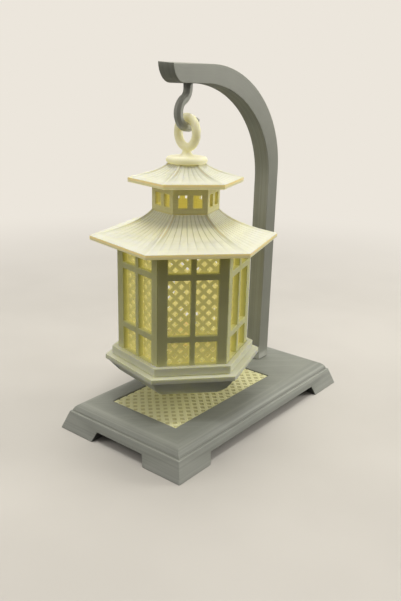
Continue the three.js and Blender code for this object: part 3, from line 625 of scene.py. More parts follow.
def new_object(name: str, mesh: bpy.types.Mesh) -> bpy.types.Object:
    """Links an object for a mesh, at the origin.

    Args:
        name: The object's name.
        mesh: Its mesh.

    Returns:
        The object.
    """
    made = bpy.data.objects.new(name, mesh)
    bpy.context.scene.collection.objects.link(made)
    return made


def mesh_object(name: str, points: Sequence[Vector], faces: Sequence[Sequence[int]]) -> bpy.types.Object:
    """Makes an object from points and faces.

    Args:
        name: The object's name.
        points: The mesh's points.
        faces: The indices of each face's points.

    Returns:
        The object, with its doubles merged and its faces pointing out.
    """
    mesh = bpy.data.meshes.new(name)
    mesh.from_pydata([tuple(point) for point in points], [], [tuple(face) for face in faces])
    work = bmesh.new()
    work.from_mesh(mesh)
    bmesh.ops.remove_doubles(work, verts=work.verts, dist=MERGE_DISTANCE)
    bmesh.ops.recalc_face_normals(work, faces=work.faces)
    work.to_mesh(mesh)
    work.free()
    return new_object(name, mesh)


def node_copy(name: str, node: str) -> bpy.types.Object:
    """Copies the shape of a node.

    Args:
        name: The new object's name.
        node: The node to copy.

    Returns:
        The copy, with its loose triangles merged into whole flat faces.
    """
    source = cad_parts[node].data
    points = [vertex.co.copy() for vertex in source.vertices]
    made = mesh_object(name, points, [list(polygon.vertices) for polygon in source.polygons])
    work = bmesh.new()
    work.from_mesh(made.data)
    bmesh.ops.dissolve_limit(
        work, angle_limit=FLAT_ANGLE, verts=work.verts, edges=work.edges, use_dissolve_boundaries=False
    )
    work.to_mesh(made.data)
    work.free()
    return made


def settle(piece: bpy.types.Object) -> bpy.types.Object:
    """Turns a piece's modifiers into its plain mesh.

    Args:
        piece: The object to change.

    Returns:
        The same object.
    """
    bpy.context.view_layer.update()
    graph = bpy.context.evaluated_depsgraph_get()
    finished = bpy.data.meshes.new_from_object(piece.evaluated_get(graph))
    piece.modifiers.clear()
    piece.data = finished
    return piece


def combine_shapes(piece: bpy.types.Object, other: bpy.types.Object, operation: str) -> None:
    """Cuts another shape out of a piece or joins it on.

    Args:
        piece: The object to change.
        other: The other shape. Its object is removed.
        operation: DIFFERENCE or UNION.
    """
    change = piece.modifiers.new("combine", "BOOLEAN")
    change.operation = operation
    change.solver = "EXACT"
    change.object = other
    settle(piece)
    bpy.data.objects.remove(other)


def flatten(piece: bpy.types.Object, weight: int = 90) -> bpy.types.Object:
    """Smooths a piece's shading but keeps its wide faces flat.

    Args:
        piece: The object to change.
        weight: How much more the wide faces count.

    Returns:
        The same object.
    """
    piece.data.shade_smooth()
    normals = piece.modifiers.new("normals", "WEIGHTED_NORMAL")
    normals.keep_sharp = False
    normals.weight = weight
    return settle(piece)


def ease(piece: bpy.types.Object, width: float, angle: float = 35.0, segments: int = 2) -> bpy.types.Object:
    """Rounds a piece's sharp edges and smooths its shading.

    Args:
        piece: The object to change.
        width: The width of the rounding.
        angle: How sharp an edge has to be, in degrees.
        segments: The number of faces across each rounding.

    Returns:
        The same object.
    """
    bevel = piece.modifiers.new("ease", "BEVEL")
    bevel.width = width
    bevel.segments = segments
    bevel.limit_method = "ANGLE"
    bevel.angle_limit = math.radians(angle)
    bevel.use_clamp_overlap = True
    return flatten(piece, 50)


def smooth_under(piece: bpy.types.Object, angle: float) -> bpy.types.Object:
    """Smooths a piece's shading but for its sharp edges.

    Args:
        piece: The object to change.
        angle: How sharp an edge has to be, in degrees.

    Returns:
        The same object.
    """
    piece.data.shade_smooth()
    piece.data.set_sharp_from_angle(angle=math.radians(angle))
    return piece


def store(piece: bpy.types.Object, name: str, values: Sequence[object]) -> None:
    """Stores one number or vector for each point of a piece.

    Args:
        piece: The object.
        name: The attribute's name.
        values: The numbers or vectors, in the order of the points.
    """
    vectors = isinstance(values[0], Vector)
    made = piece.data.attributes.new(name, "FLOAT_VECTOR" if vectors else "FLOAT", "POINT")
    flat = [number for vector in values for number in vector] if vectors else values
    made.data.foreach_set("vector" if vectors else "value", flat)


def mark_print(
    piece: bpy.types.Object, bed: Bed, place: Callable[[Vector], Vector] | None = None
) -> bpy.types.Object:
    """Stores how each point of a piece lay on the printer's bed.

    Args:
        piece: The object to mark.
        bed: The directions of the bed.
        place: Gives a point's place over the bed, where it isn't a plain turn.

    Returns:
        The same object.
    """
    give = place or bed.place
    store(piece, PLACE, [give(vertex.co) for vertex in piece.data.vertices])
    store(piece, BUILD_AXIS, [bed.up] * len(piece.data.vertices))
    return piece


def finish_piece(
    piece: bpy.types.Object, body: "Body", slot: "Slot", material: bpy.types.Material, node: str
) -> None:
    """Dresses a piece and hands it over to its body.

    Args:
        piece: The finished object.
        body: The body that it rides on.
        slot: The record's material slot. Not used.
        material: The finish.
        node: The node that it stands for.
    """
    piece.data.materials.clear()
    piece.data.materials.append(material)
    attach(piece, body.value)
    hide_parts(node)
    log.info("%s rides on %s, %d faces", piece.name, body.value, len(piece.data.polygons))


def dress_node(node: str, material: bpy.types.Material) -> None:
    """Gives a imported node's own solid a finish.

    Args:
        node: The node's name.
        material: The finish.
    """
    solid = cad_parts[node]
    if not solid.data.materials:
        solid.data.materials.append(material)
    for place in solid.material_slots:
        place.material = material
    log.info("%s keeps its solid", node)


def ring_faces(count: int, rings: int, closed: bool) -> list[list[int]]:
    """Gives the faces of a skin over equal rings of points.

    Args:
        count: The points in each ring.
        rings: The number of rings.
        closed: Whether the last ring joins the first. Otherwise the ends get flat caps.

    Returns:
        The faces' indices.
    """
    faces = []
    for ring in range(rings if closed else rings - 1):
        above = (ring + 1) % rings
        for i in range(count):
            j = (i + 1) % count
            faces.append([ring * count + i, ring * count + j, above * count + j, above * count + i])
    if not closed:
        faces.append(list(range(count))[::-1])
        faces.append([(rings - 1) * count + i for i in range(count)])
    return faces


def skin(name: str, rings: Sequence[Sequence[Vector]], closed: bool = False) -> bpy.types.Object:
    """Makes an object from equal rings of points, with flat caps where it isn't closed."""
    points = [point for ring in rings for point in ring]
    return mesh_object(name, points, ring_faces(len(rings[0]), len(rings), closed))


def turned(
    name: str, profile: Profile, centre: Vector, facets: int = 96, start: float = 0.0
) -> bpy.types.Object:
    """Turns a profile about an upright axis.

    Args:
        name: The object's name.
        profile: Points of radius and height, starting and ending on the axis or closing on itself.
        centre: A point on the axis, at height 0.
        facets: The number of faces round the axis.
        start: The angle of the first point.

    Returns:
        The object.
    """
    turns = [start + math.tau * i / facets for i in range(facets)]
    rings = [
        [centre + Vector((radius * math.cos(turn), radius * math.sin(turn), height)) for turn in turns]
        for radius, height in profile
    ]
    return skin(name, rings, profile[0] != profile[-1] and profile[0][0] > 0)


def arc(centre: tuple[float, float], radius: float, start: float, end: float, steps: int) -> Profile:
    """Gives the points of an arc in a plane, from one angle to another in degrees."""
    turns = [math.radians(start + (end - start) * i / steps) for i in range(steps + 1)]
    return [(centre[0] + radius * math.cos(turn), centre[1] + radius * math.sin(turn)) for turn in turns]


def smooth_line(points: Sequence[tuple[float, float]], steps: int) -> Profile:
    """Draws a smooth line through points.

    Args:
        points: The points to pass through.
        steps: The number of steps between two points.

    Returns:
        The line's points.
    """
    line = []
    padded = [points[0], *points, points[-1]]
    for i in range(1, len(padded) - 2):
        a, b, c, d = (Vector(padded[i + k]) for k in (-1, 0, 1, 2))
        for step in range(steps):
            t = step / steps
            bend = 2 * a - 5 * b + 4 * c - d
            twist = 3 * b - a - 3 * c + d
            spot = 0.5 * (2 * b + (c - a) * t + bend * t**2 + twist * t**3)
            line.append((spot.x, spot.y))
    line.append(tuple(points[-1]))
    return line


def smooth_step(value: float, low: float, high: float) -> float:
    """Rises smoothly from 0 at low to 1 at high."""
    share = min(1.0, max(0.0, (value - low) / (high - low)))
    return share * share * (3 - 2 * share)


def hex_corner(index: int) -> Vector:
    """Gives the direction of one of the lantern's corners."""
    angle = HEX_TURN + math.tau * index / HEX
    return Vector((math.cos(angle), math.sin(angle), 0))


def hex_side(index: int) -> Vector:
    """Gives the direction that one of the lantern's sides faces."""
    return (hex_corner(index) + hex_corner(index + 1)).normalized()


def apothem(radius: float) -> float:
    """Gives the distance of a hexagon's sides from its middle, from the radius to its corners."""
    return radius * math.cos(math.pi / HEX)


# Repeats made by nodes


class Perforation:
    """A flat plate with rows of diamonds, each row set between those of the next."""

    tree: bpy.types.NodeTree | None = None

    @classmethod
    def build_tree(cls) -> bpy.types.NodeTree:
        """Builds the tree once: a plate, a grid of cutters on every other point, and the cut.

        Returns:
            The tree.
        """
        if cls.tree is not None:
            return cls.tree
        ports = [
            Port("Size", "Vector"),
            Port("Step", "Float", 0.0028),
            Port("Columns", "Int", 9),
            Port("Rows", "Int", 21),
            Port("Cutter", "Object"),
            Port("Finish", "Material"),
        ]
        cls.tree, wires, given, result = new_group(
            "Perforation", "GeometryNodeTree", ports, [Port("Geometry", "Geometry")]
        )
        plate = wires.node("GeometryNodeMeshCube", {"Size": given["Size"]})
        grid = wires.node("GeometryNodeMeshGrid")
        for side, name in (("X", "Columns"), ("Y", "Rows")):
            reach = wires.math("MULTIPLY", wires.math("SUBTRACT", given[name], 1.0), given["Step"])
            wires.fill(grid, {f"Size {side}": reach, f"Vertices {side}": given[name]})
        index = wires.node("GeometryNodeInputIndex").outputs[0]
        column = wires.math("FLOOR", wires.math("DIVIDE", index, given["Rows"]))
        row = wires.math("MODULO", index, given["Rows"])
        odd = wires.math("MODULO", wires.math("ADD", column, row), 2.0)
        unwanted = {"Geometry": grid.outputs["Mesh"], "Selection": wires.math("GREATER_THAN", odd, 0.5)}
        spots = wires.node("GeometryNodeDeleteGeometry", unwanted, domain="POINT")
        cutter = wires.node("GeometryNodeObjectInfo", {"Object": given["Cutter"]}, transform_space="ORIGINAL")
        spread = wires.node(
            "GeometryNodeInstanceOnPoints",
            {"Points": spots.outputs["Geometry"], "Instance": cutter.outputs["Geometry"]},
        )
        solid = wires.node("GeometryNodeRealizeInstances", {"Geometry": spread.outputs["Instances"]})
        meshes = {"Mesh 1": plate.outputs["Mesh"], "Mesh 2": solid.outputs["Geometry"]}
        cut = wires.node("GeometryNodeMeshBoolean", meshes, operation="DIFFERENCE", solver="EXACT")
        whole = wires.node("GeometryNodeRealizeInstances", {"Geometry": cut.outputs["Mesh"]})
        dressed = wires.node(
            "GeometryNodeSetMaterial", {"Geometry": whole.outputs["Geometry"], "Material": given["Finish"]}
        )
        wires.feed(result.inputs["Geometry"], dressed.outputs["Geometry"])
        return cls.tree

    @staticmethod
    def cutter(rings: Sequence[tuple[float, float]]) -> bpy.types.Object:
        """Makes a diamond-shaped cutter.

        Args:
            rings: Half the diagonal and the height of each ring, from the lowest up.

        Returns:
            The cutter, which is removed after the cut.
        """
        corners = [Vector((1, 0, 0)), Vector((0, 1, 0)), Vector((-1, 0, 0)), Vector((0, -1, 0))]
        return skin(
            "diamond_cutter", [[corner * half + UP * height for corner in corners] for half, height in rings]
        )

    @classmethod
    def make(cls, name: str, cutter: bpy.types.Object, **values: object) -> bpy.types.Object:
        """Makes one plate, level and round the origin.

        Args:
            name: The object's name.
            cutter: The cutter, from the method of that name. It is removed.
            values: The tree's inputs by name, in lower case.

        Returns:
            The plate as a plain mesh.
        """
        piece = new_object(name, bpy.data.meshes.new(name))
        piece.modifiers.new("perforation", "NODES").node_group = cls.build_tree()
        sockets = {
            item.name: item.identifier
            for item in cls.build_tree().interface.items_tree
            if item.item_type == "SOCKET" and item.in_out == "INPUT"
        }
        for key, value in {**values, "cutter": cutter}.items():
            piece.modifiers[0][sockets[key.capitalize()]] = value
        settle(piece)
        bpy.data.objects.remove(cutter)
        return piece


# Stand


class Body(enum.Enum):
    """The bodies that the pieces ride on."""

    STAND = "stand"
    FINIAL = "finial"
    LANTERN = "lantern"
    TRAY = "tray"
    TEALIGHT = "tealight"
    DOOR = "battery_door"
    SWITCH = "switch"


class Slot(enum.Enum):
    """The record's material slots."""

    GREY = "grey_print"
    IVORY = "ivory_print"
    WHITE = "white_plastic"
    AMBER = "amber_lens"
    BLACK = "black_plastic"
    NICKEL = "nickel"


@dataclass
class Route:
    """A line in the upright XZ plane that a bar follows."""

    points: list[Vector]

    def place(self, point: Vector) -> Vector:
        """Gives a point's distance off the line, its distance along it and its Y.

        Args:
            point: Any point near the bar.

        Returns:
            The three distances, as a place over the printer's bed.
        """
        best = None
        walked = 0.0
        flat = Vector((point.x, 0, point.z))
        for start, end in zip(self.points, self.points[1:]):
            step = end - start
            share = min(1.0, max(0.0, (flat - start).dot(step) / step.length_squared))
            away = flat - (start + step * share)
            if best is None or away.length < best[0]:
                side = math.copysign(away.length, step.cross(away).y)
                best = (away.length, side, walked + step.length * share)
            walked += step.length
        return Vector((best[1], best[2], point.y))


def swept(
    name: str, path: Sequence[Vector], section: Sequence[tuple[float, float]], chamfer: float, share: float
) -> bpy.types.Object:
    """Sweeps a section along a path in the upright XZ plane.

    Args:
        name: The object's name.
        path: The points of the path.
        section: The section's points, off the path and along Y.
        chamfer: How far the two ends are softened.
        share: The size of the section at the very ends.

    Returns:
        The object.
    """
    rings = []
    last = len(path) - 1
    for i, spot in enumerate(path):
        heading = (path[min(i + 1, last)] - path[max(i - 1, 0)]).normalized()
        off = heading.cross(Vector((0, 1, 0)))
        if i in (0, last):
            inwards = heading if i == 0 else -heading
            rings.append([spot + off * a * share + Vector((0, b * share, 0)) for a, b in section])
            full = [spot + inwards * chamfer + off * a + Vector((0, b, 0)) for a, b in section]
            rings.insert(len(rings) if i == 0 else -1, full)
        else:
            rings.append([spot + off * a + Vector((0, b, 0)) for a, b in section])
    return skin(name, rings)


@dataclass
class Stand:
    """Base, mat, arm and hook."""

    edge: float = 0.0004
    bar: float = 0.0097
    arm_depth: float = 0.0095
    outer_run: float = 0.0654
    outer_rise: float = 0.0564
    inner_run: float = 0.0597
    inner_rise: float = 0.0517
    post_steps: int = 24
    arch_steps: int = 48
    reach_steps: int = 12
    tip_turns: tuple[int, ...] = (12, 24, 36, 46, 56, 64, 71, 77, 82, 86)
    tip_round: float = 0.0078
    bar_edge: float = 0.0004
    seat_edge: float = 0.0002
    seat_rise: float = 0.0003
    tip_reach: float = 0.0162
    tip_lean: float = 0.0008
    lean_end: float = -0.004
    tenon_depth: float = 0.007
    tenon_shoulder: float = 0.001
    socket_start: float = 0.001
    hook_bar: float = 0.00445
    hook_peg: float = 0.005
    hook_drop: float = 0.0136
    bowl_radius: float = 0.0069
    neck_radius: float = 0.0058
    hook_tip: float = 25.0
    hook_sides: int = 8
    corner_turn: float = 3.0
    corner_share: float = 0.979
    hook_end: float = 0.0003
    hook_end_share: float = 0.86
    dimple: float = 0.0031
    dimple_depth: float = 0.0004
    dimple_step: float = 0.0028
    dimple_rings: tuple[tuple[float, float], ...] = ((0.75, -1.0), (1.0, -0.35), (1.5, 0.6))
    mat_gap: float = 0.0004

    def build(self) -> None:
        """Makes and hands over every piece of the stand."""
        cream = IVORY_MAT.build()
        base = mark_print(ease(node_copy("footed_base", "base"), self.edge), UPRIGHT)
        finish_piece(base, Body.STAND, Slot.GREY, GREY.build(), "base")
        finish_piece(self.mat(cream), Body.STAND, Slot.IVORY, cream, "mat")
        finish_piece(self.arm(), Body.STAND, Slot.GREY, GREY_ALONG.build(), "arm")
        finish_piece(self.hook(), Body.STAND, Slot.GREY, GREY_HOOK.build(), "hook")

    def mat(self, finish: bpy.types.Material) -> bpy.types.Object:
        """Makes the mat with its diamond dimples.

        Args:
            finish: The material that the tree sets.

        Returns:
            The mat.
        """
        low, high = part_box("mat")
        high = high - Vector((self.mat_gap, self.mat_gap, 0))
        size = high - low
        half = self.dimple / 2
        top = size.z / 2
        rings = [(half * width, top + self.dimple_depth * height) for width, height in self.dimple_rings]
        piece = Perforation.make(
            "dimpled_mat",
            Perforation.cutter(rings),
            size=size,
            step=self.dimple_step,
            columns=round(size.x / self.dimple_step),
            rows=int(size.y / self.dimple_step) + 1,
            finish=finish,
        )
        piece.data.transform(Matrix.Translation((low + high) / 2))
        piece.data.shade_flat()
        return mark_print(piece, UPRIGHT)

    def stations(self) -> list[tuple[Vector, Vector]]:
        """Walks along the arm's two outlines.

        Returns:
            Pairs of points on the inner and the outer one, from the foot to the tip.
        """
        low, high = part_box("arm")
        back, top, tip = high.x, high.z, low.x
        front = back - self.bar
        under = top - self.arm_depth
        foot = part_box("base")[1].z + SEAT_GAP
        inner = Vector((front - self.inner_run, 0, under - self.inner_rise))
        outer = Vector((back - self.outer_run, 0, top - self.outer_rise))
        start = (Vector((front, 0, foot)), Vector((back, 0, foot)))
        springing = [Vector((edge.x, 0, centre.z)) for edge, centre in zip(start, (inner, outer))]
        pairs = []
        for i in range(self.post_steps):
            pairs.append(tuple(edge.lerp(end, i / self.post_steps) for edge, end in zip(start, springing)))
        for i in range(self.arch_steps + 1):
            turn = math.pi / 2 * i / self.arch_steps
            flat, upright = math.cos(turn), math.sin(turn)
            under_arch = inner + Vector((self.inner_run * flat, 0, self.inner_rise * upright))
            over_arch = outer + Vector((self.outer_run * flat, 0, self.outer_rise * upright))
            pairs.append((under_arch, over_arch))
        last = pairs[-1]
        for i in range(1, self.reach_steps + 1):
            share = i / self.reach_steps
            pairs.append(tuple(spot.lerp(Vector((tip + self.tip_round, 0, spot.z)), share) for spot in last))
        for turn in self.tip_turns:
            angle = math.radians(turn)
            x = tip + self.tip_round * (1 - math.sin(angle))
            pairs.append((Vector((x, 0, top - self.arm_depth * math.cos(angle))), Vector((x, 0, top))))
        return pairs

    def section(self, inner: Vector, outer: Vector, half: float, edge: float) -> list[Vector]:
        """Draws the bar's rounded section between two points.

        Args:
            inner: The middle of its inner face.
            outer: The middle of its outer face.
            half: Half its width along Y.
            edge: The radius of its corners.

        Returns:
            The section's points.
        """
        across = outer - inner
        depth = across.length
        edge = min(edge, depth * 0.45)
        near, far, wide = edge, depth - edge, half - edge
        points = []
        for quarter, middle in enumerate(((far, wide), (near, wide), (near, -wide), (far, -wide))):
            for a, b in arc(middle, edge, 90 * quarter, 90 * quarter + 90, 3):
                drop = self.lean(inner.x) * (a / depth) * (half - b) / (2 * half)
                points.append(inner + across * (a / depth) + Vector((0, b, -drop)))
        return points

    def lean(self, x: float) -> float:
        """Gives how far the near top edge of the arm's free end lies under the far one."""
        run = self.lean_end - (AXIS_X - self.tip_reach)
        return self.tip_lean * min(1.0, max(0.0, (self.lean_end - x) / run))

    def arm_under(self) -> float:
        """Gives the height of the underside of the arm's free end."""
        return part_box("arm")[1].z - self.arm_depth

    def hook_corner(self) -> float:
        """Gives the distance from the middle of the hook's bar to its corners."""
        return self.hook_bar / 2 / math.cos(math.pi / self.hook_sides)

    def arm(self) -> bpy.types.Object:
        """Makes the arm: up the post, over the arch and out to the rounded tip.

        Returns:
            The arm.
        """
        pairs = self.stations()
        half = self.bar / 2
        front, back = pairs[0]
        shoulder = Vector((self.tenon_shoulder, 0, 0))
        down = Vector((0, 0, -self.tenon_depth - SEAT_GAP))
        slim = (front + shoulder, back - shoulder)
        narrow = half - self.tenon_shoulder
        lift = UP * self.seat_rise
        rings = [
            self.section(slim[0] + down, slim[1] + down, narrow, self.bar_edge / 2),
            self.section(*slim, narrow, self.bar_edge / 2),
            self.section(front, back, half - self.seat_edge, self.bar_edge),
            self.section(front + lift, back + lift, half, self.bar_edge),
        ]
        rings += [self.section(inner, outer, half, self.bar_edge) for inner, outer in pairs[1:]]
        piece = skin("arched_arm", rings)

        radius = self.hook_corner() + SEAT_GAP
        top = self.hook_peg + SEAT_GAP
        below = -self.socket_start
        profile = [(0, below), (radius, below), (radius, top), (0, top)]
        place = Vector((AXIS_X, 0, self.arm_under()))
        socket = turned("hook_socket", profile, place, self.hook_sides, math.pi / self.hook_sides)
        combine_shapes(piece, socket, "DIFFERENCE")
        middle = Route([(inner + outer) / 2 for inner, outer in pairs])
        return mark_print(flatten(piece), SIDE_UP, middle.place)

    def hook(self) -> bpy.types.Object:
        """Makes the hook: down from the arm, away from the post and round into the bowl.

        Returns:
            The hook.
        """
        under = self.arm_under()
        bowl = under - self.hook_drop
        rise = math.sqrt((self.neck_radius + self.bowl_radius) ** 2 - self.neck_radius**2)
        bend = math.degrees(math.atan2(rise, self.neck_radius))
        flat = [(AXIS_X, under + self.hook_peg - self.hook_peg * i / 4) for i in range(4)]
        flat += [(AXIS_X, under - (under - bowl - rise) * i / 3) for i in range(3)]
        flat += arc((AXIS_X - self.neck_radius, bowl + rise), self.neck_radius, 0, -bend, 12)
        flat += arc((AXIS_X, bowl), self.bowl_radius, 180 - bend, 360 - self.hook_tip, 44)[1:]
        path = [Vector((x, 0, z)) for x, z in flat]
        corner = self.hook_corner() * self.corner_share
        side = 360 / self.hook_sides
        section = []
        for i in range(self.hook_sides):
            for turn in (-self.corner_turn, self.corner_turn):
                angle = math.radians(side / 2 + side * i + turn)
                section.append((corner * math.cos(angle), corner * math.sin(angle)))
        piece = flatten(swept("eight_sided_hook", path, section, self.hook_end, self.hook_end_share))
        return mark_print(piece, SIDE_UP, Route(path).place)


# Lantern


@dataclass
class HollowRoof:
    """A hexagonal roof with a hollow curve, hips, and grooves that draw together upwards."""

    name: str
    centre: Vector
    radius: float
    crown: float
    rise: float
    eave: float
    grooves: int
    steps: int = 28
    groove_width: float = 0.00065
    groove_depth: float = 0.00035
    groove_share: float = 0.3
    hip_width: float = 0.0016
    hip_height: float = 0.0004
    # Painted shade along the hips and in the grooves.
    hip_shade: float = 0.6
    edge: float = 0.0004
    groove_painted_shade: float = 0.33
    pull_in: float = 0.24
    pull_up: float = 0.38
    # Painted shade of the five eave rings, from the bottom up.
    eave_shades: tuple[float, ...] = (0.0, 0.05, 0.15, 0.9, 0.0)
    # Painted glow on the five eave rings, from the bottom up, brightening the eave's face.
    eave_painted_glow: tuple[float, ...] = (0.9, 0.9, 0.9, 0.9, 0.0)
    # Painted glow on the roof's underside.
    inside_painted_glow: float = 0.5
    grown_at: float = 0.5
    # Painted light: a band of glow across the slope, rising over band_start and falling over band_end, as
    # strong as through; it lightens the roof just outside the upper roof's shadow.
    band_start: tuple[float, float] = (0.15, 0.45)
    band_end: tuple[float, float] = (0.58, 0.74)
    through: float = 0.0
    sharp: float = 48.0

    def stops(self, radius: float, fade: float) -> list[tuple[float, float, float]]:
        """Gives the points across one face, as a share of its width, a lift and a depth of painted shade.

        Args:
            radius: The ring's radius.
            fade: How far hips and grooves have grown, from 0 to 1.

        Returns:
            The points, from the corner to just before the next corner.
        """
        radius = max(radius, self.crown)
        hip = self.hip_width / 2 / radius
        spacing = radius / (self.grooves + 1)
        narrow = min(1.0, self.groove_share * spacing / self.groove_width)
        half = self.groove_width * narrow / 2 / radius
        depth = self.groove_depth * narrow * fade
        lift = self.hip_height * fade
        stops = [(0.0, lift, 0.0), (hip * 0.5, lift * 0.8, 0.0), (hip, 0.0, self.hip_shade)]
        for i in range(1, self.grooves + 1):
            middle = i / (self.grooves + 1)
            for off, drop in ((-1, 0), (-0.6, 0.75), (0, 1), (0.6, 0.75), (1, 0)):
                stops.append((middle + off * half, -depth * drop, drop * narrow * self.groove_painted_shade))
        return stops + [(1 - hip, 0.0, self.hip_shade), (1 - hip * 0.5, lift * 0.8, 0.0)]

    def ring(self, radius: float, height: float, fade: float = 0.0, circle: bool = False) -> list[Vector]:
        """Draws one ring of the roof.

        Args:
            radius: To the corners.
            height: Over the top of the eave.
            fade: How far hips and grooves have grown.
            circle: Whether it is round.

        Returns:
            The ring's points.
        """
        points = []
        for face in range(HEX):
            start, end = (hex_corner(face + k) * radius for k in (0, 1))
            for share, lift, _ in self.stops(radius, fade):
                spot = start.lerp(end, share)
                if circle:
                    spot = spot.normalized() * radius
                points.append(self.centre + spot + Vector((0, 0, height + lift)))
        return points

    def build(self, inside: Sequence[tuple[float, float, bool]]) -> bpy.types.Object:
        """Makes the roof.

        Args:
            inside: The rings of the underside, from the crown round to the eave, as a radius, a
                height over the top of the eave and whether it is round.

        Returns:
            The roof.
        """
        edge = self.edge
        rings = [
            self.ring(self.radius - edge, -self.eave),
            self.ring(self.radius - edge * 0.3, -self.eave + edge * 0.3),
            self.ring(self.radius, -self.eave + edge),
            self.ring(self.radius, -edge),
            self.ring(self.radius - edge * 0.3, -edge * 0.3),
        ]
        count = len(rings[0])
        # Painted shade of the eave rings, then of the grooves and hips on each ring of the slope.
        shades = [shade for shade in self.eave_shades for _ in range(count)]
        # Painted glow of the eave rings, then of each ring of the slope.
        lights = [light for light in self.eave_painted_glow for _ in range(count)]
        run = self.radius - self.crown
        start = Vector((self.radius, 0))
        end = Vector((self.crown, self.rise))
        pull = Vector((self.crown + self.pull_in * run, self.pull_up * self.rise))
        for i in range(1, self.steps + 1):
            t = i / self.steps
            spot = start * (1 - t) ** 2 + pull * 2 * t * (1 - t) + end * t**2
            rings.append(self.ring(spot.x, spot.y, smooth_step(t, 0.0, self.grown_at)))
            grown = min(1.0, t / self.grown_at)
            shades += [depth * min(1, 0.1 + grown * grown) for *_, depth in self.stops(spot.x, 1.0)] * HEX
            # Painted light: the band of glow across the slope.
            band = smooth_step(t, *self.band_start) * (1 - smooth_step(t, *self.band_end))
            lights += [self.through * band] * count
        rings += [self.ring(radius, height, 0.0, circle) for radius, height, circle in inside]
        shades += [0.0] * (len(inside) * count)
        lights += [self.inside_painted_glow] * (len(inside) * count)
        piece = skin(self.name, rings, closed=True)
        # The painted shade and the painted glow, stored for the finish.
        store(piece, PAINTED_SHADE, shades)
        store(piece, PAINTED_GLOW, lights)
        return mark_print(smooth_under(piece, self.sharp), UPRIGHT)


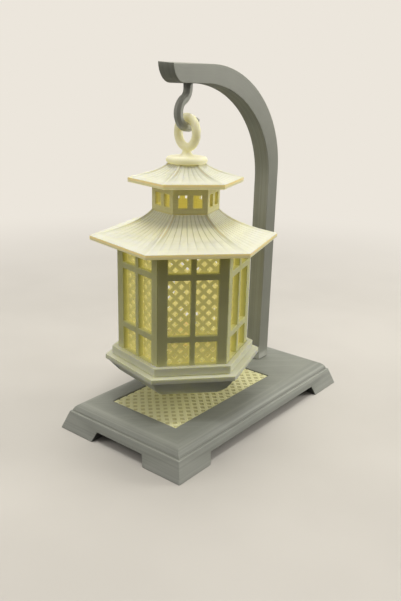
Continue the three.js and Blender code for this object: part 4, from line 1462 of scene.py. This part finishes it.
@dataclass
class Lantern:
    """Finial, roofs, clerestory, six framed screens, plinth and tray."""

    edge: float = 0.0003
    body_radius: float = 0.0352
    frame_depth: float = 0.003
    screen_depth: float = 0.0014
    mitre_gap: float = 0.0002
    tongue: float = 0.0015
    roof_radius: float = 0.0489
    roof_rise: float = 0.0128
    roof_eave: float = 0.00235
    roof_grooves: int = 9
    # Strength of the painted light band across the main roof's slope.
    roof_painted_glow: float = 0.24
    roof_lip: float = 0.0012
    cone_radius: float = 0.0222
    cone_height: float = 0.00602
    collar_radius: float = 0.0174
    collar_wall: float = 0.0022
    spigot: float = 0.0025
    spigot_ledge: float = 0.0016
    upper_radius: float = 0.0295
    upper_crown: float = 0.0098
    upper_rise: float = 0.0065
    upper_eave: float = 0.0025
    upper_grooves: int = 6
    stem_radius: float = 0.003
    stem_head: float = 0.0046
    ceiling: float = 0.005
    ring_radius: float = 0.00715
    ring_bar: float = 0.0022
    ring_sides: int = 24
    ring_turns: int = 72
    # Painted glow all over the finial.
    ring_painted_glow: float = 0.7
    neck_radius: float = 0.0023
    neck_height: float = 0.0044
    neck_foot: float = 0.0022
    neck_flare: tuple[tuple[float, float], ...] = ((0.0046, 0.0), (0.0033, 0.0007))
    ring_drop: float = 0.0022
    stem_edge: float = 0.0008
    cap_radius: float = 0.01045
    cap_height: float = 0.0034
    grain: float = 0.00022
    relax_turns: int = 4
    hole: float = 0.00298
    step: float = 0.0028
    columns: int = 9
    rows: int = 21
    hole_flare: float = 0.00025
    flare_depth: float = 0.0003
    flare_excess: float = 0.0001
    # Painted glow on the clerestory, plinth and tray: where it ends, where it is full, and the least share.
    collar_painted_glow: tuple[float, ...] = (0.0145, 0.0128)
    plinth_painted_glow: tuple[float, ...] = (0.0255, 0.0235, 0.2)
    tray_painted_glow: tuple[float, ...] = (0.0208, 0.0195, 0.25)
    tray_flange: float = 0.0032
    # How far the painted glow on the screens and frames reaches.
    screen_fade: float = 0.003
    frame_fade: float = 0.0004

    def build(self) -> None:
        """Makes and hands over every piece of the lantern."""
        ivory = IVORY.build()
        roofs = IVORY_ROOF.build()
        finish_piece(self.finial(), Body.FINIAL, Slot.IVORY, roofs, "finial")
        finish_piece(self.upper_roof(), Body.LANTERN, Slot.IVORY, roofs, "upper_roof")
        finish_piece(self.main_roof(), Body.LANTERN, Slot.IVORY, roofs, "main_roof")
        collar = self.paint_inner_glow(self.eased("windowed_collar", "clerestory"), *self.collar_painted_glow)
        finish_piece(collar, Body.LANTERN, Slot.IVORY, IVORY_COLLAR.build(), "clerestory")
        plinth = self.paint_inner_glow(self.eased("stepped_plinth", "plinth"), *self.plinth_painted_glow)
        finish_piece(plinth, Body.LANTERN, Slot.IVORY, ivory, "plinth")
        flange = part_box("tray")[1].z - self.tray_flange
        tray = self.paint_inner_glow(self.eased("drop_tray", "tray"), *self.tray_painted_glow, flange)
        finish_piece(tray, Body.TRAY, Slot.IVORY, ivory, "tray")
        self.sides(IVORY_FRAME.build(), IVORY_SCREEN.build())

    def eased(self, name: str, node: str, bed: Bed = UPRIGHT) -> bpy.types.Object:
        """Copies a node, softens its edges and marks how it was printed.

        Args:
            name: The new object's name.
            node: The node to copy.
            bed: How it lay on the printer's bed.

        Returns:
            The copy.
        """
        return mark_print(ease(node_copy(name, node), self.edge), bed)

    def paint_inner_glow(
        self, piece: bpy.types.Object, outer: float, inner: float, least: float = 0.0, low: float = 0.0
    ) -> bpy.types.Object:
        """Stores how much painted glow each point of a piece gets, standing in for the light inside the
        lantern.

        Args:
            piece: The object to mark.
            outer: The distance from the axis, across a side, at which the painted glow ends.
            inner: The distance at which all of it does.
            least: The share of painted glow everywhere, standing in for light through the plastic.
            low: The height above which that share counts.

        Returns:
            The same object.
        """
        normals = [hex_side(face) for face in range(HEX)]
        lights = []
        for vertex in piece.data.vertices:
            reach = max((vertex.co - AXIS).dot(normal) for normal in normals)
            share = least if vertex.co.z > low else 0.0
            lights.append(min(1.0, max(share, (outer - reach) / (outer - inner))))
        store(piece, PAINTED_GLOW, lights)
        return piece

    def sides(self, finish: bpy.types.Material, screen_finish: bpy.types.Material) -> None:
        """Makes the six frames and the screens behind them.

        Args:
            finish: The frames' material.
            screen_finish: The screens' material.
        """
        low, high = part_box("lattice_screen_1")
        outside = apothem(self.body_radius)
        front = outside - self.frame_depth - SEAT_GAP
        back = front - self.screen_depth
        width = 2 * (back * math.tan(math.pi / HEX) - self.mitre_gap)
        plate = self.plate(width, high.z - low.z, screen_finish)
        for face in range(HEX):
            normal = hex_side(face)
            bed = Bed(UP.cross(normal), UP, normal)
            stand = Matrix((bed.across, bed.along, bed.up)).transposed().to_4x4()
            stand.translation = Vector((AXIS_X, 0, (low.z + high.z) / 2)) + normal * (front + back) / 2
            screen = new_object(f"side_screen_{face + 1}", plate.data.copy())
            screen.data.transform(stand)
            screen.data.shade_flat()
            self.paint_inner_glow(mark_print(screen, bed), front + self.screen_fade, back)
            finish_piece(screen, Body.LANTERN, Slot.IVORY, screen_finish, f"lattice_screen_{face + 1}")
            panel = self.eased(f"side_frame_{face + 1}", f"wall_frame_{face + 1}", bed)
            self.paint_inner_glow(panel, outside - self.frame_fade, front)
            finish_piece(panel, Body.LANTERN, Slot.IVORY, finish, f"wall_frame_{face + 1}")
        bpy.data.objects.remove(plate)

    def plate(self, width: float, height: float, finish: bpy.types.Material) -> bpy.types.Object:
        """Makes one screen, level and round the origin.

        Args:
            width: Its width.
            height: Its height.
            finish: Its material.

        Returns:
            The screen.
        """
        half = self.hole / 2
        deep = self.screen_depth / 2
        straight = deep - self.flare_depth
        mouth, end = half + self.hole_flare, deep + self.flare_excess
        rings = [(mouth, -end), (half, -straight), (half, straight), (mouth, end)]
        return Perforation.make(
            "screen_plate",
            Perforation.cutter(rings),
            size=Vector((width, height, self.screen_depth)),
            step=self.step,
            columns=self.columns,
            rows=self.rows,
            finish=finish,
        )

    def collar_inside(self) -> float:
        """Gives the inner radius of the clerestory, to its corners."""
        return self.collar_radius - self.collar_wall / math.cos(math.pi / HEX)

    def main_roof(self) -> bpy.types.Object:
        """Makes the large roof over the walls.

        Returns:
            The roof.
        """
        roof = HollowRoof(
            "grooved_main_roof",
            Vector((AXIS_X, 0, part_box("main_roof")[1].z - self.roof_rise)),
            self.roof_radius,
            self.collar_radius,
            self.roof_rise,
            self.roof_eave,
            self.roof_grooves,
            through=self.roof_painted_glow,
        )
        share = math.cos(math.pi / HEX)
        inner = self.collar_inside()
        spigot = self.collar_radius - self.collar_wall / 2 / share + SEAT_GAP
        floor = self.roof_rise - self.spigot - SEAT_GAP
        ledge = floor - self.spigot_ledge
        wall = apothem(self.body_radius) - self.frame_depth - SEAT_GAP - self.screen_depth - SEAT_GAP
        wall = wall / share
        outer = self.body_radius + SEAT_GAP
        mouth = wall - self.roof_lip
        eave = -self.roof_eave
        groove = eave + self.tongue + SEAT_GAP
        hexes = [
            (spigot, self.roof_rise), (spigot, floor), (inner, floor), (inner, ledge),
            (self.cone_radius, self.cone_height), (mouth, 0), (mouth, eave), (wall, eave), (wall, groove),
            (outer, groove), (outer, eave),
        ]
        return roof.build([(radius, height, False) for radius, height in hexes])

    def upper_roof(self) -> bpy.types.Object:
        """Makes the small roof, with the boss that goes down into the clerestory.

        Returns:
            The roof.
        """
        roof = HollowRoof(
            "grooved_top_roof",
            Vector((AXIS_X, 0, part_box("upper_roof")[1].z - self.upper_rise)),
            self.upper_radius,
            self.upper_crown,
            self.upper_rise,
            self.upper_eave,
            self.upper_grooves,
            steps=18,
            groove_depth=0.0002,
            groove_painted_shade=0.2,
        )
        boss = self.collar_inside() - SEAT_GAP / math.cos(math.pi / HEX)
        stem = self.stem_radius + SEAT_GAP
        head = self.stem_head + SEAT_GAP
        below = -self.upper_eave - self.spigot
        ceiling = self.upper_rise - self.ceiling
        return roof.build(
            [
                (stem, self.upper_rise, True), (stem, ceiling, True), (head, ceiling, True),
                (head, below, True), (boss, below, False), (boss, -self.upper_eave, False),
            ]
        )

    def finial(self) -> bpy.types.Object:
        """Makes the ring, its neck, the round cap and the stem that holds the roofs.

        Returns:
            The finial.
        """
        low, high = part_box("finial")
        middle = high.z - self.ring_radius - self.ring_bar
        neck, stem, head = self.neck_radius, self.stem_radius, self.stem_head
        half_cap = self.cap_height / 2
        cap_top = middle + self.ring_radius - self.ring_bar - 2 * self.ring_radius - self.ring_drop
        cap_low = cap_top - self.cap_height
        head_top = cap_low - SEAT_GAP - self.ceiling - SEAT_GAP
        neck_top = cap_top + self.neck_height
        neck_line = [(radius, cap_top + height) for radius, height in self.neck_flare]
        neck_line += [(neck, cap_top + self.neck_foot), (neck, neck_top)]
        profile = [
            (0, low.z), (head - self.stem_edge, low.z), (head, low.z + self.stem_edge), (head, head_top),
            (stem, head_top), (stem, cap_low),
            *arc((self.cap_radius - half_cap, cap_low + half_cap), half_cap, -90, 90, 16),
            *smooth_line(neck_line, 5), (0, neck_top),
        ]
        piece = turned("ring_finial", profile, AXIS, 72)
        heading = HEX_TURN + math.radians(60)
        across = Vector((math.cos(heading), math.sin(heading), 0))
        aside = Vector((-across.y, across.x, 0))
        rings = []
        for i in range(self.ring_turns):
            turn = math.tau * i / self.ring_turns
            out = across * math.cos(turn) + UP * math.sin(turn)
            round_bar = arc((self.ring_radius, 0), self.ring_bar, 0, 360, self.ring_sides)[:-1]
            rings.append([Vector((AXIS_X, 0, middle)) + out * a + aside * b for a, b in round_bar])
        combine_shapes(piece, skin("ring", rings, closed=True), "UNION")
        blend = piece.modifiers.new("blend", "REMESH")
        blend.mode = "VOXEL"
        blend.voxel_size = self.grain
        relax = piece.modifiers.new("relax", "SMOOTH")
        relax.iterations = self.relax_turns
        settle(piece)
        piece.data.shade_smooth()
        # Painted glow: the whole finial emits a little light.
        store(piece, PAINTED_GLOW, [self.ring_painted_glow] * len(piece.data.vertices))
        return mark_print(piece, UPRIGHT)


# Tealight


@dataclass
class Tealight:
    """Battery tealight: housing, flame, lamp, floor, cell, contacts, door and switch."""

    radius: float = 0.019
    height: float = 0.0175
    wall: float = 0.0014
    taper: float = 0.0005
    dish: float = 0.0022
    dish_run: float = 0.0014
    dish_foot: float = 0.0005
    dish_floor: float = 0.003
    well_lip: float = 0.0004
    rim: float = 0.002
    edge: float = 0.00015
    shoulder: float = 0.0006
    foot_edge: float = 0.0003
    flame_radius: float = 0.0046
    flame_height: float = 0.016
    flame_wall: float = 0.001
    lens_glow: float = 0.12
    lens_fade: float = 0.018
    lamp_radius: float = 0.0025

    def build(self) -> None:
        """Makes and hands over every piece of the tealight."""
        white = WHITE.build()
        nickel = NICKEL.build()
        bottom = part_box("light_housing")[0].z
        tip = bottom + self.height + self.flame_height
        pale, warm = tone(246, 238, 200), tone(240, 222, 160)
        lens = LensPlastic("flame_lens", pale, warm, tip - self.lens_fade, tip, self.lens_glow)
        lamp = LensPlastic("lamp_dome", tone(255, 205, 120), tone(235, 150, 60), bottom, tip, 0.0)
        finish_piece(self.housing(bottom), Body.TEALIGHT, Slot.WHITE, white, "light_housing")
        finish_piece(self.flame(bottom), Body.TEALIGHT, Slot.AMBER, lens.build(), "flame_lens")
        eased = (
            ("tealight_floor", "light_base_plate", Body.TEALIGHT, Slot.WHITE, white),
            ("cell_door", "battery_door", Body.DOOR, Slot.WHITE, white),
            ("thumb_switch", "switch_slider", Body.SWITCH, Slot.BLACK, BLACK.build()),
        )
        for name, node, body, slot, finish in eased:
            finish_piece(ease(node_copy(name, node), self.edge), body, slot, finish, node)
        dress_node("led", lamp.build())
        for node in ("coin_cell", "top_contact", "side_contact"):
            dress_node(node, nickel)

    def housing(self, bottom: float) -> bpy.types.Object:
        """Makes the dished cup that stands over the lamp.

        Args:
            bottom: The height of the tealight's underside.

        Returns:
            The housing.
        """
        top = self.radius - self.taper
        floor = self.height - self.dish
        under = floor - self.wall
        seat = floor - self.wall / 2
        hole = self.lamp_radius + SEAT_GAP
        well = self.flame_radius + SEAT_GAP
        mouth = top - self.rim
        dish = [
            (mouth, self.height), (mouth - self.dish_run, floor + self.dish_foot),
            (self.flame_radius + self.dish_floor, floor), (well, floor + self.well_lip),
        ]
        profile = [
            (self.radius - self.wall, 0), (self.radius - self.foot_edge, 0), (self.radius, self.foot_edge),
            *arc((top - self.shoulder, self.height - self.shoulder), self.shoulder, 0, 90, 6),
            *smooth_line(dish, 6), (well, seat), (hole, seat), (hole, under), (top - self.wall, under),
        ]
        return smooth_under(turned("tealight_cup", profile, Vector((AXIS_X, 0, bottom)), 128), 45)

    def flame(self, bottom: float) -> bpy.types.Object:
        """Makes the flame-shaped lens, hollow over the lamp.

        Args:
            bottom: The height of the tealight's underside.

        Returns:
            The lens.
        """
        low = bottom + self.height - self.dish - self.wall / 2 + SEAT_GAP
        rise = bottom + self.height + self.flame_height - low
        core = self.flame_radius - self.flame_wall
        inner = [(0, 0.6), (0.5, 0.45), (0.92, 0.2), (1, 0)]
        outer = [(1, 0), (1, 0.12), (0.93, 0.3), (0.72, 0.52), (0.42, 0.74), (0.17, 0.91), (0, 1)]
        profile = [(a * core, b * rise) for a, b in smooth_line(inner, 6)]
        profile += [(max(a, 0) * self.flame_radius, b * rise) for a, b in smooth_line(outer, 6)]
        return smooth_under(turned("flame_bulb", profile, Vector((AXIS_X, 0, low)), 48), 60)


# Studio


@dataclass(frozen=True)
class Lamp:
    """A soft square lamp."""

    name: str
    place: tuple[float, float, float]
    size: float
    power: float
    colour: Colour

    def hang(self, target: Vector) -> None:
        """Makes the lamp and turns it to its target.

        Args:
            target: The point that it faces.
        """
        data = bpy.data.lights.new(self.name, "AREA")
        data.size = self.size
        data.energy = self.power
        data.color = self.colour
        made = bpy.data.objects.new(self.name, data)
        bpy.context.scene.collection.objects.link(made)
        made.location = self.place
        made.rotation_euler = (target - made.location).to_track_quat("-Z", "Y").to_euler()


LAMPS = (
    Lamp("key", (0.1, 0.12, 0.72), 0.4, 2.0, (1.0, 0.99, 0.93)),
    Lamp("ceiling", (-0.15, -0.1, 0.8), 0.12, 1.42, (1.0, 0.99, 0.93)),
    Lamp("left", (-0.55, 0.45, 0.35), 0.4, 1.2, (1.0, 0.985, 0.9)),
    Lamp("side", (0.56, -0.5, 0.32), 0.35, 3.3, (1.0, 0.985, 0.9)),
)


@dataclass
class Studio:
    """Floor, pale surroundings, lamps and camera."""

    azimuth: float = -51.523
    elevation: float = 18.317
    roll: float = 1.451
    distance: float = 0.430007
    target: tuple[float, float, float] = (0.035110, 0.036041, 0.047285)
    lens: float = 40.17
    sensor: float = 36.0
    near: float = 0.01
    lamp_target: tuple[float, float, float] = (-0.02, 0.0, 0.09)
    reach: float = 12.0
    fade_start: float = 0.14
    fade_end: float = 0.6
    horizon: float = 0.04
    zenith: float = 0.72

    def build(self) -> None:
        """Makes everything round the lantern."""
        self.floor()
        self.surroundings()
        for lamp in LAMPS:
            lamp.hang(Vector(self.lamp_target))
        self.camera()

    def floor(self) -> None:
        """Makes the pale floor, which throws little light back at the lantern."""
        reach = self.reach
        points = [Vector((x * reach, y * reach, 0)) for x, y in ((-1, -1), (1, -1), (1, 1), (-1, 1))]
        floor = mesh_object("studio_floor", points, [(0, 1, 2, 3)])
        material, wires, shader = new_material("studio_floor")
        seen = self.seen(wires, 0.3)
        place = wires.coordinate()
        cloud = wires.ramp(wires.noise(place, 9.0, 3.0), 0.3, 0.7)
        away = wires.ramp(wires.vector("LENGTH", place).outputs["Value"], self.fade_start, self.fade_end)
        pale = wires.tint(cloud, tone(200, 196, 192), tone(206, 202, 198))
        lit = wires.tint(away, pale, NO_LIGHT)
        shown = wires.tint(away, NO_LIGHT, BACKDROP)
        wires.fill(shader, {"Base Color": wires.tint(seen, (0.03, 0.03, 0.03), lit), "Roughness": 0.9})
        wires.fill(shader, {"Specular IOR Level": 0.0, "Emission Color": shown, "Emission Strength": seen})
        floor.data.materials.append(material)
        floor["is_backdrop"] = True

    def seen(self, wires: Wiring, gloss: float) -> bpy.types.NodeSocket:
        """Tells what looks at the surroundings.

        Args:
            wires: The wiring to add to.
            gloss: How much a reflection counts.

        Returns:
            A socket that is 1 for the camera and for clear pieces, and 0 for bounced light.
        """
        paths = wires.node("ShaderNodeLightPath").outputs
        gloss_share = wires.math("MULTIPLY", paths["Is Glossy Ray"], gloss)
        mirror = wires.math("MAXIMUM", gloss_share, paths["Is Transmission Ray"])
        return wires.math("MAXIMUM", paths["Is Camera Ray"], mirror)

    def surroundings(self) -> None:
        """Makes the pale world, darker towards the horizon for all but the camera."""
        world = bpy.data.worlds.new("surroundings")
        bpy.context.scene.world = world
        world.use_nodes = True
        wires = Wiring(world.node_tree)
        seen = self.seen(wires, 1.0)
        height = wires.split(wires.coordinate("Generated"))[2]
        sky = wires.ramp(height, 0.0, 1.0, self.horizon, self.zenith)
        colour = wires.tint(seen, tone(240, 236, 226), BACKDROP)
        background = world.node_tree.nodes["Background"]
        wires.fill(background, {"Color": colour, "Strength": wires.blend(seen, sky, 1.0)})

    def camera(self) -> None:
        """Sets up the camera of the photograph."""
        azimuth, elevation, roll = map(math.radians, (self.azimuth, self.elevation, self.roll))
        level = math.cos(elevation)
        back = Vector((math.sin(azimuth) * level, -math.cos(azimuth) * level, math.sin(elevation)))
        right = Vector((math.cos(azimuth), math.sin(azimuth), 0))
        up = back.cross(right)
        rolled = right * math.cos(roll) + up * math.sin(roll)
        upright = up * math.cos(roll) - right * math.sin(roll)
        data = bpy.data.cameras.new("camera")
        data.lens = self.lens
        data.sensor_width = self.sensor
        data.clip_start = self.near
        camera = bpy.data.objects.new("camera", data)
        bpy.context.scene.collection.objects.link(camera)
        pose = Matrix((rolled, upright, back)).transposed().to_4x4()
        pose.translation = Vector(self.target) + back * self.distance
        camera.matrix_world = pose
        bpy.context.scene.camera = camera


def corners(box: Sequence[Vector]) -> list[list[float]]:
    """Gives a box as plain lists."""
    return [list(corner) for corner in box]


def main() -> None:
    """Builds the lantern's looks, and works out the size before and after."""
    logging.basicConfig(level=logging.INFO, format="%(message)s")
    before = corners(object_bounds())
    bpy.context.scene.view_settings.view_transform = "Standard"
    Stand().build()
    Lantern().build()
    Tealight().build()
    Studio().build()
    {"before": before, "after": corners(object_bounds())}


if __name__ == "__main__":
    main()
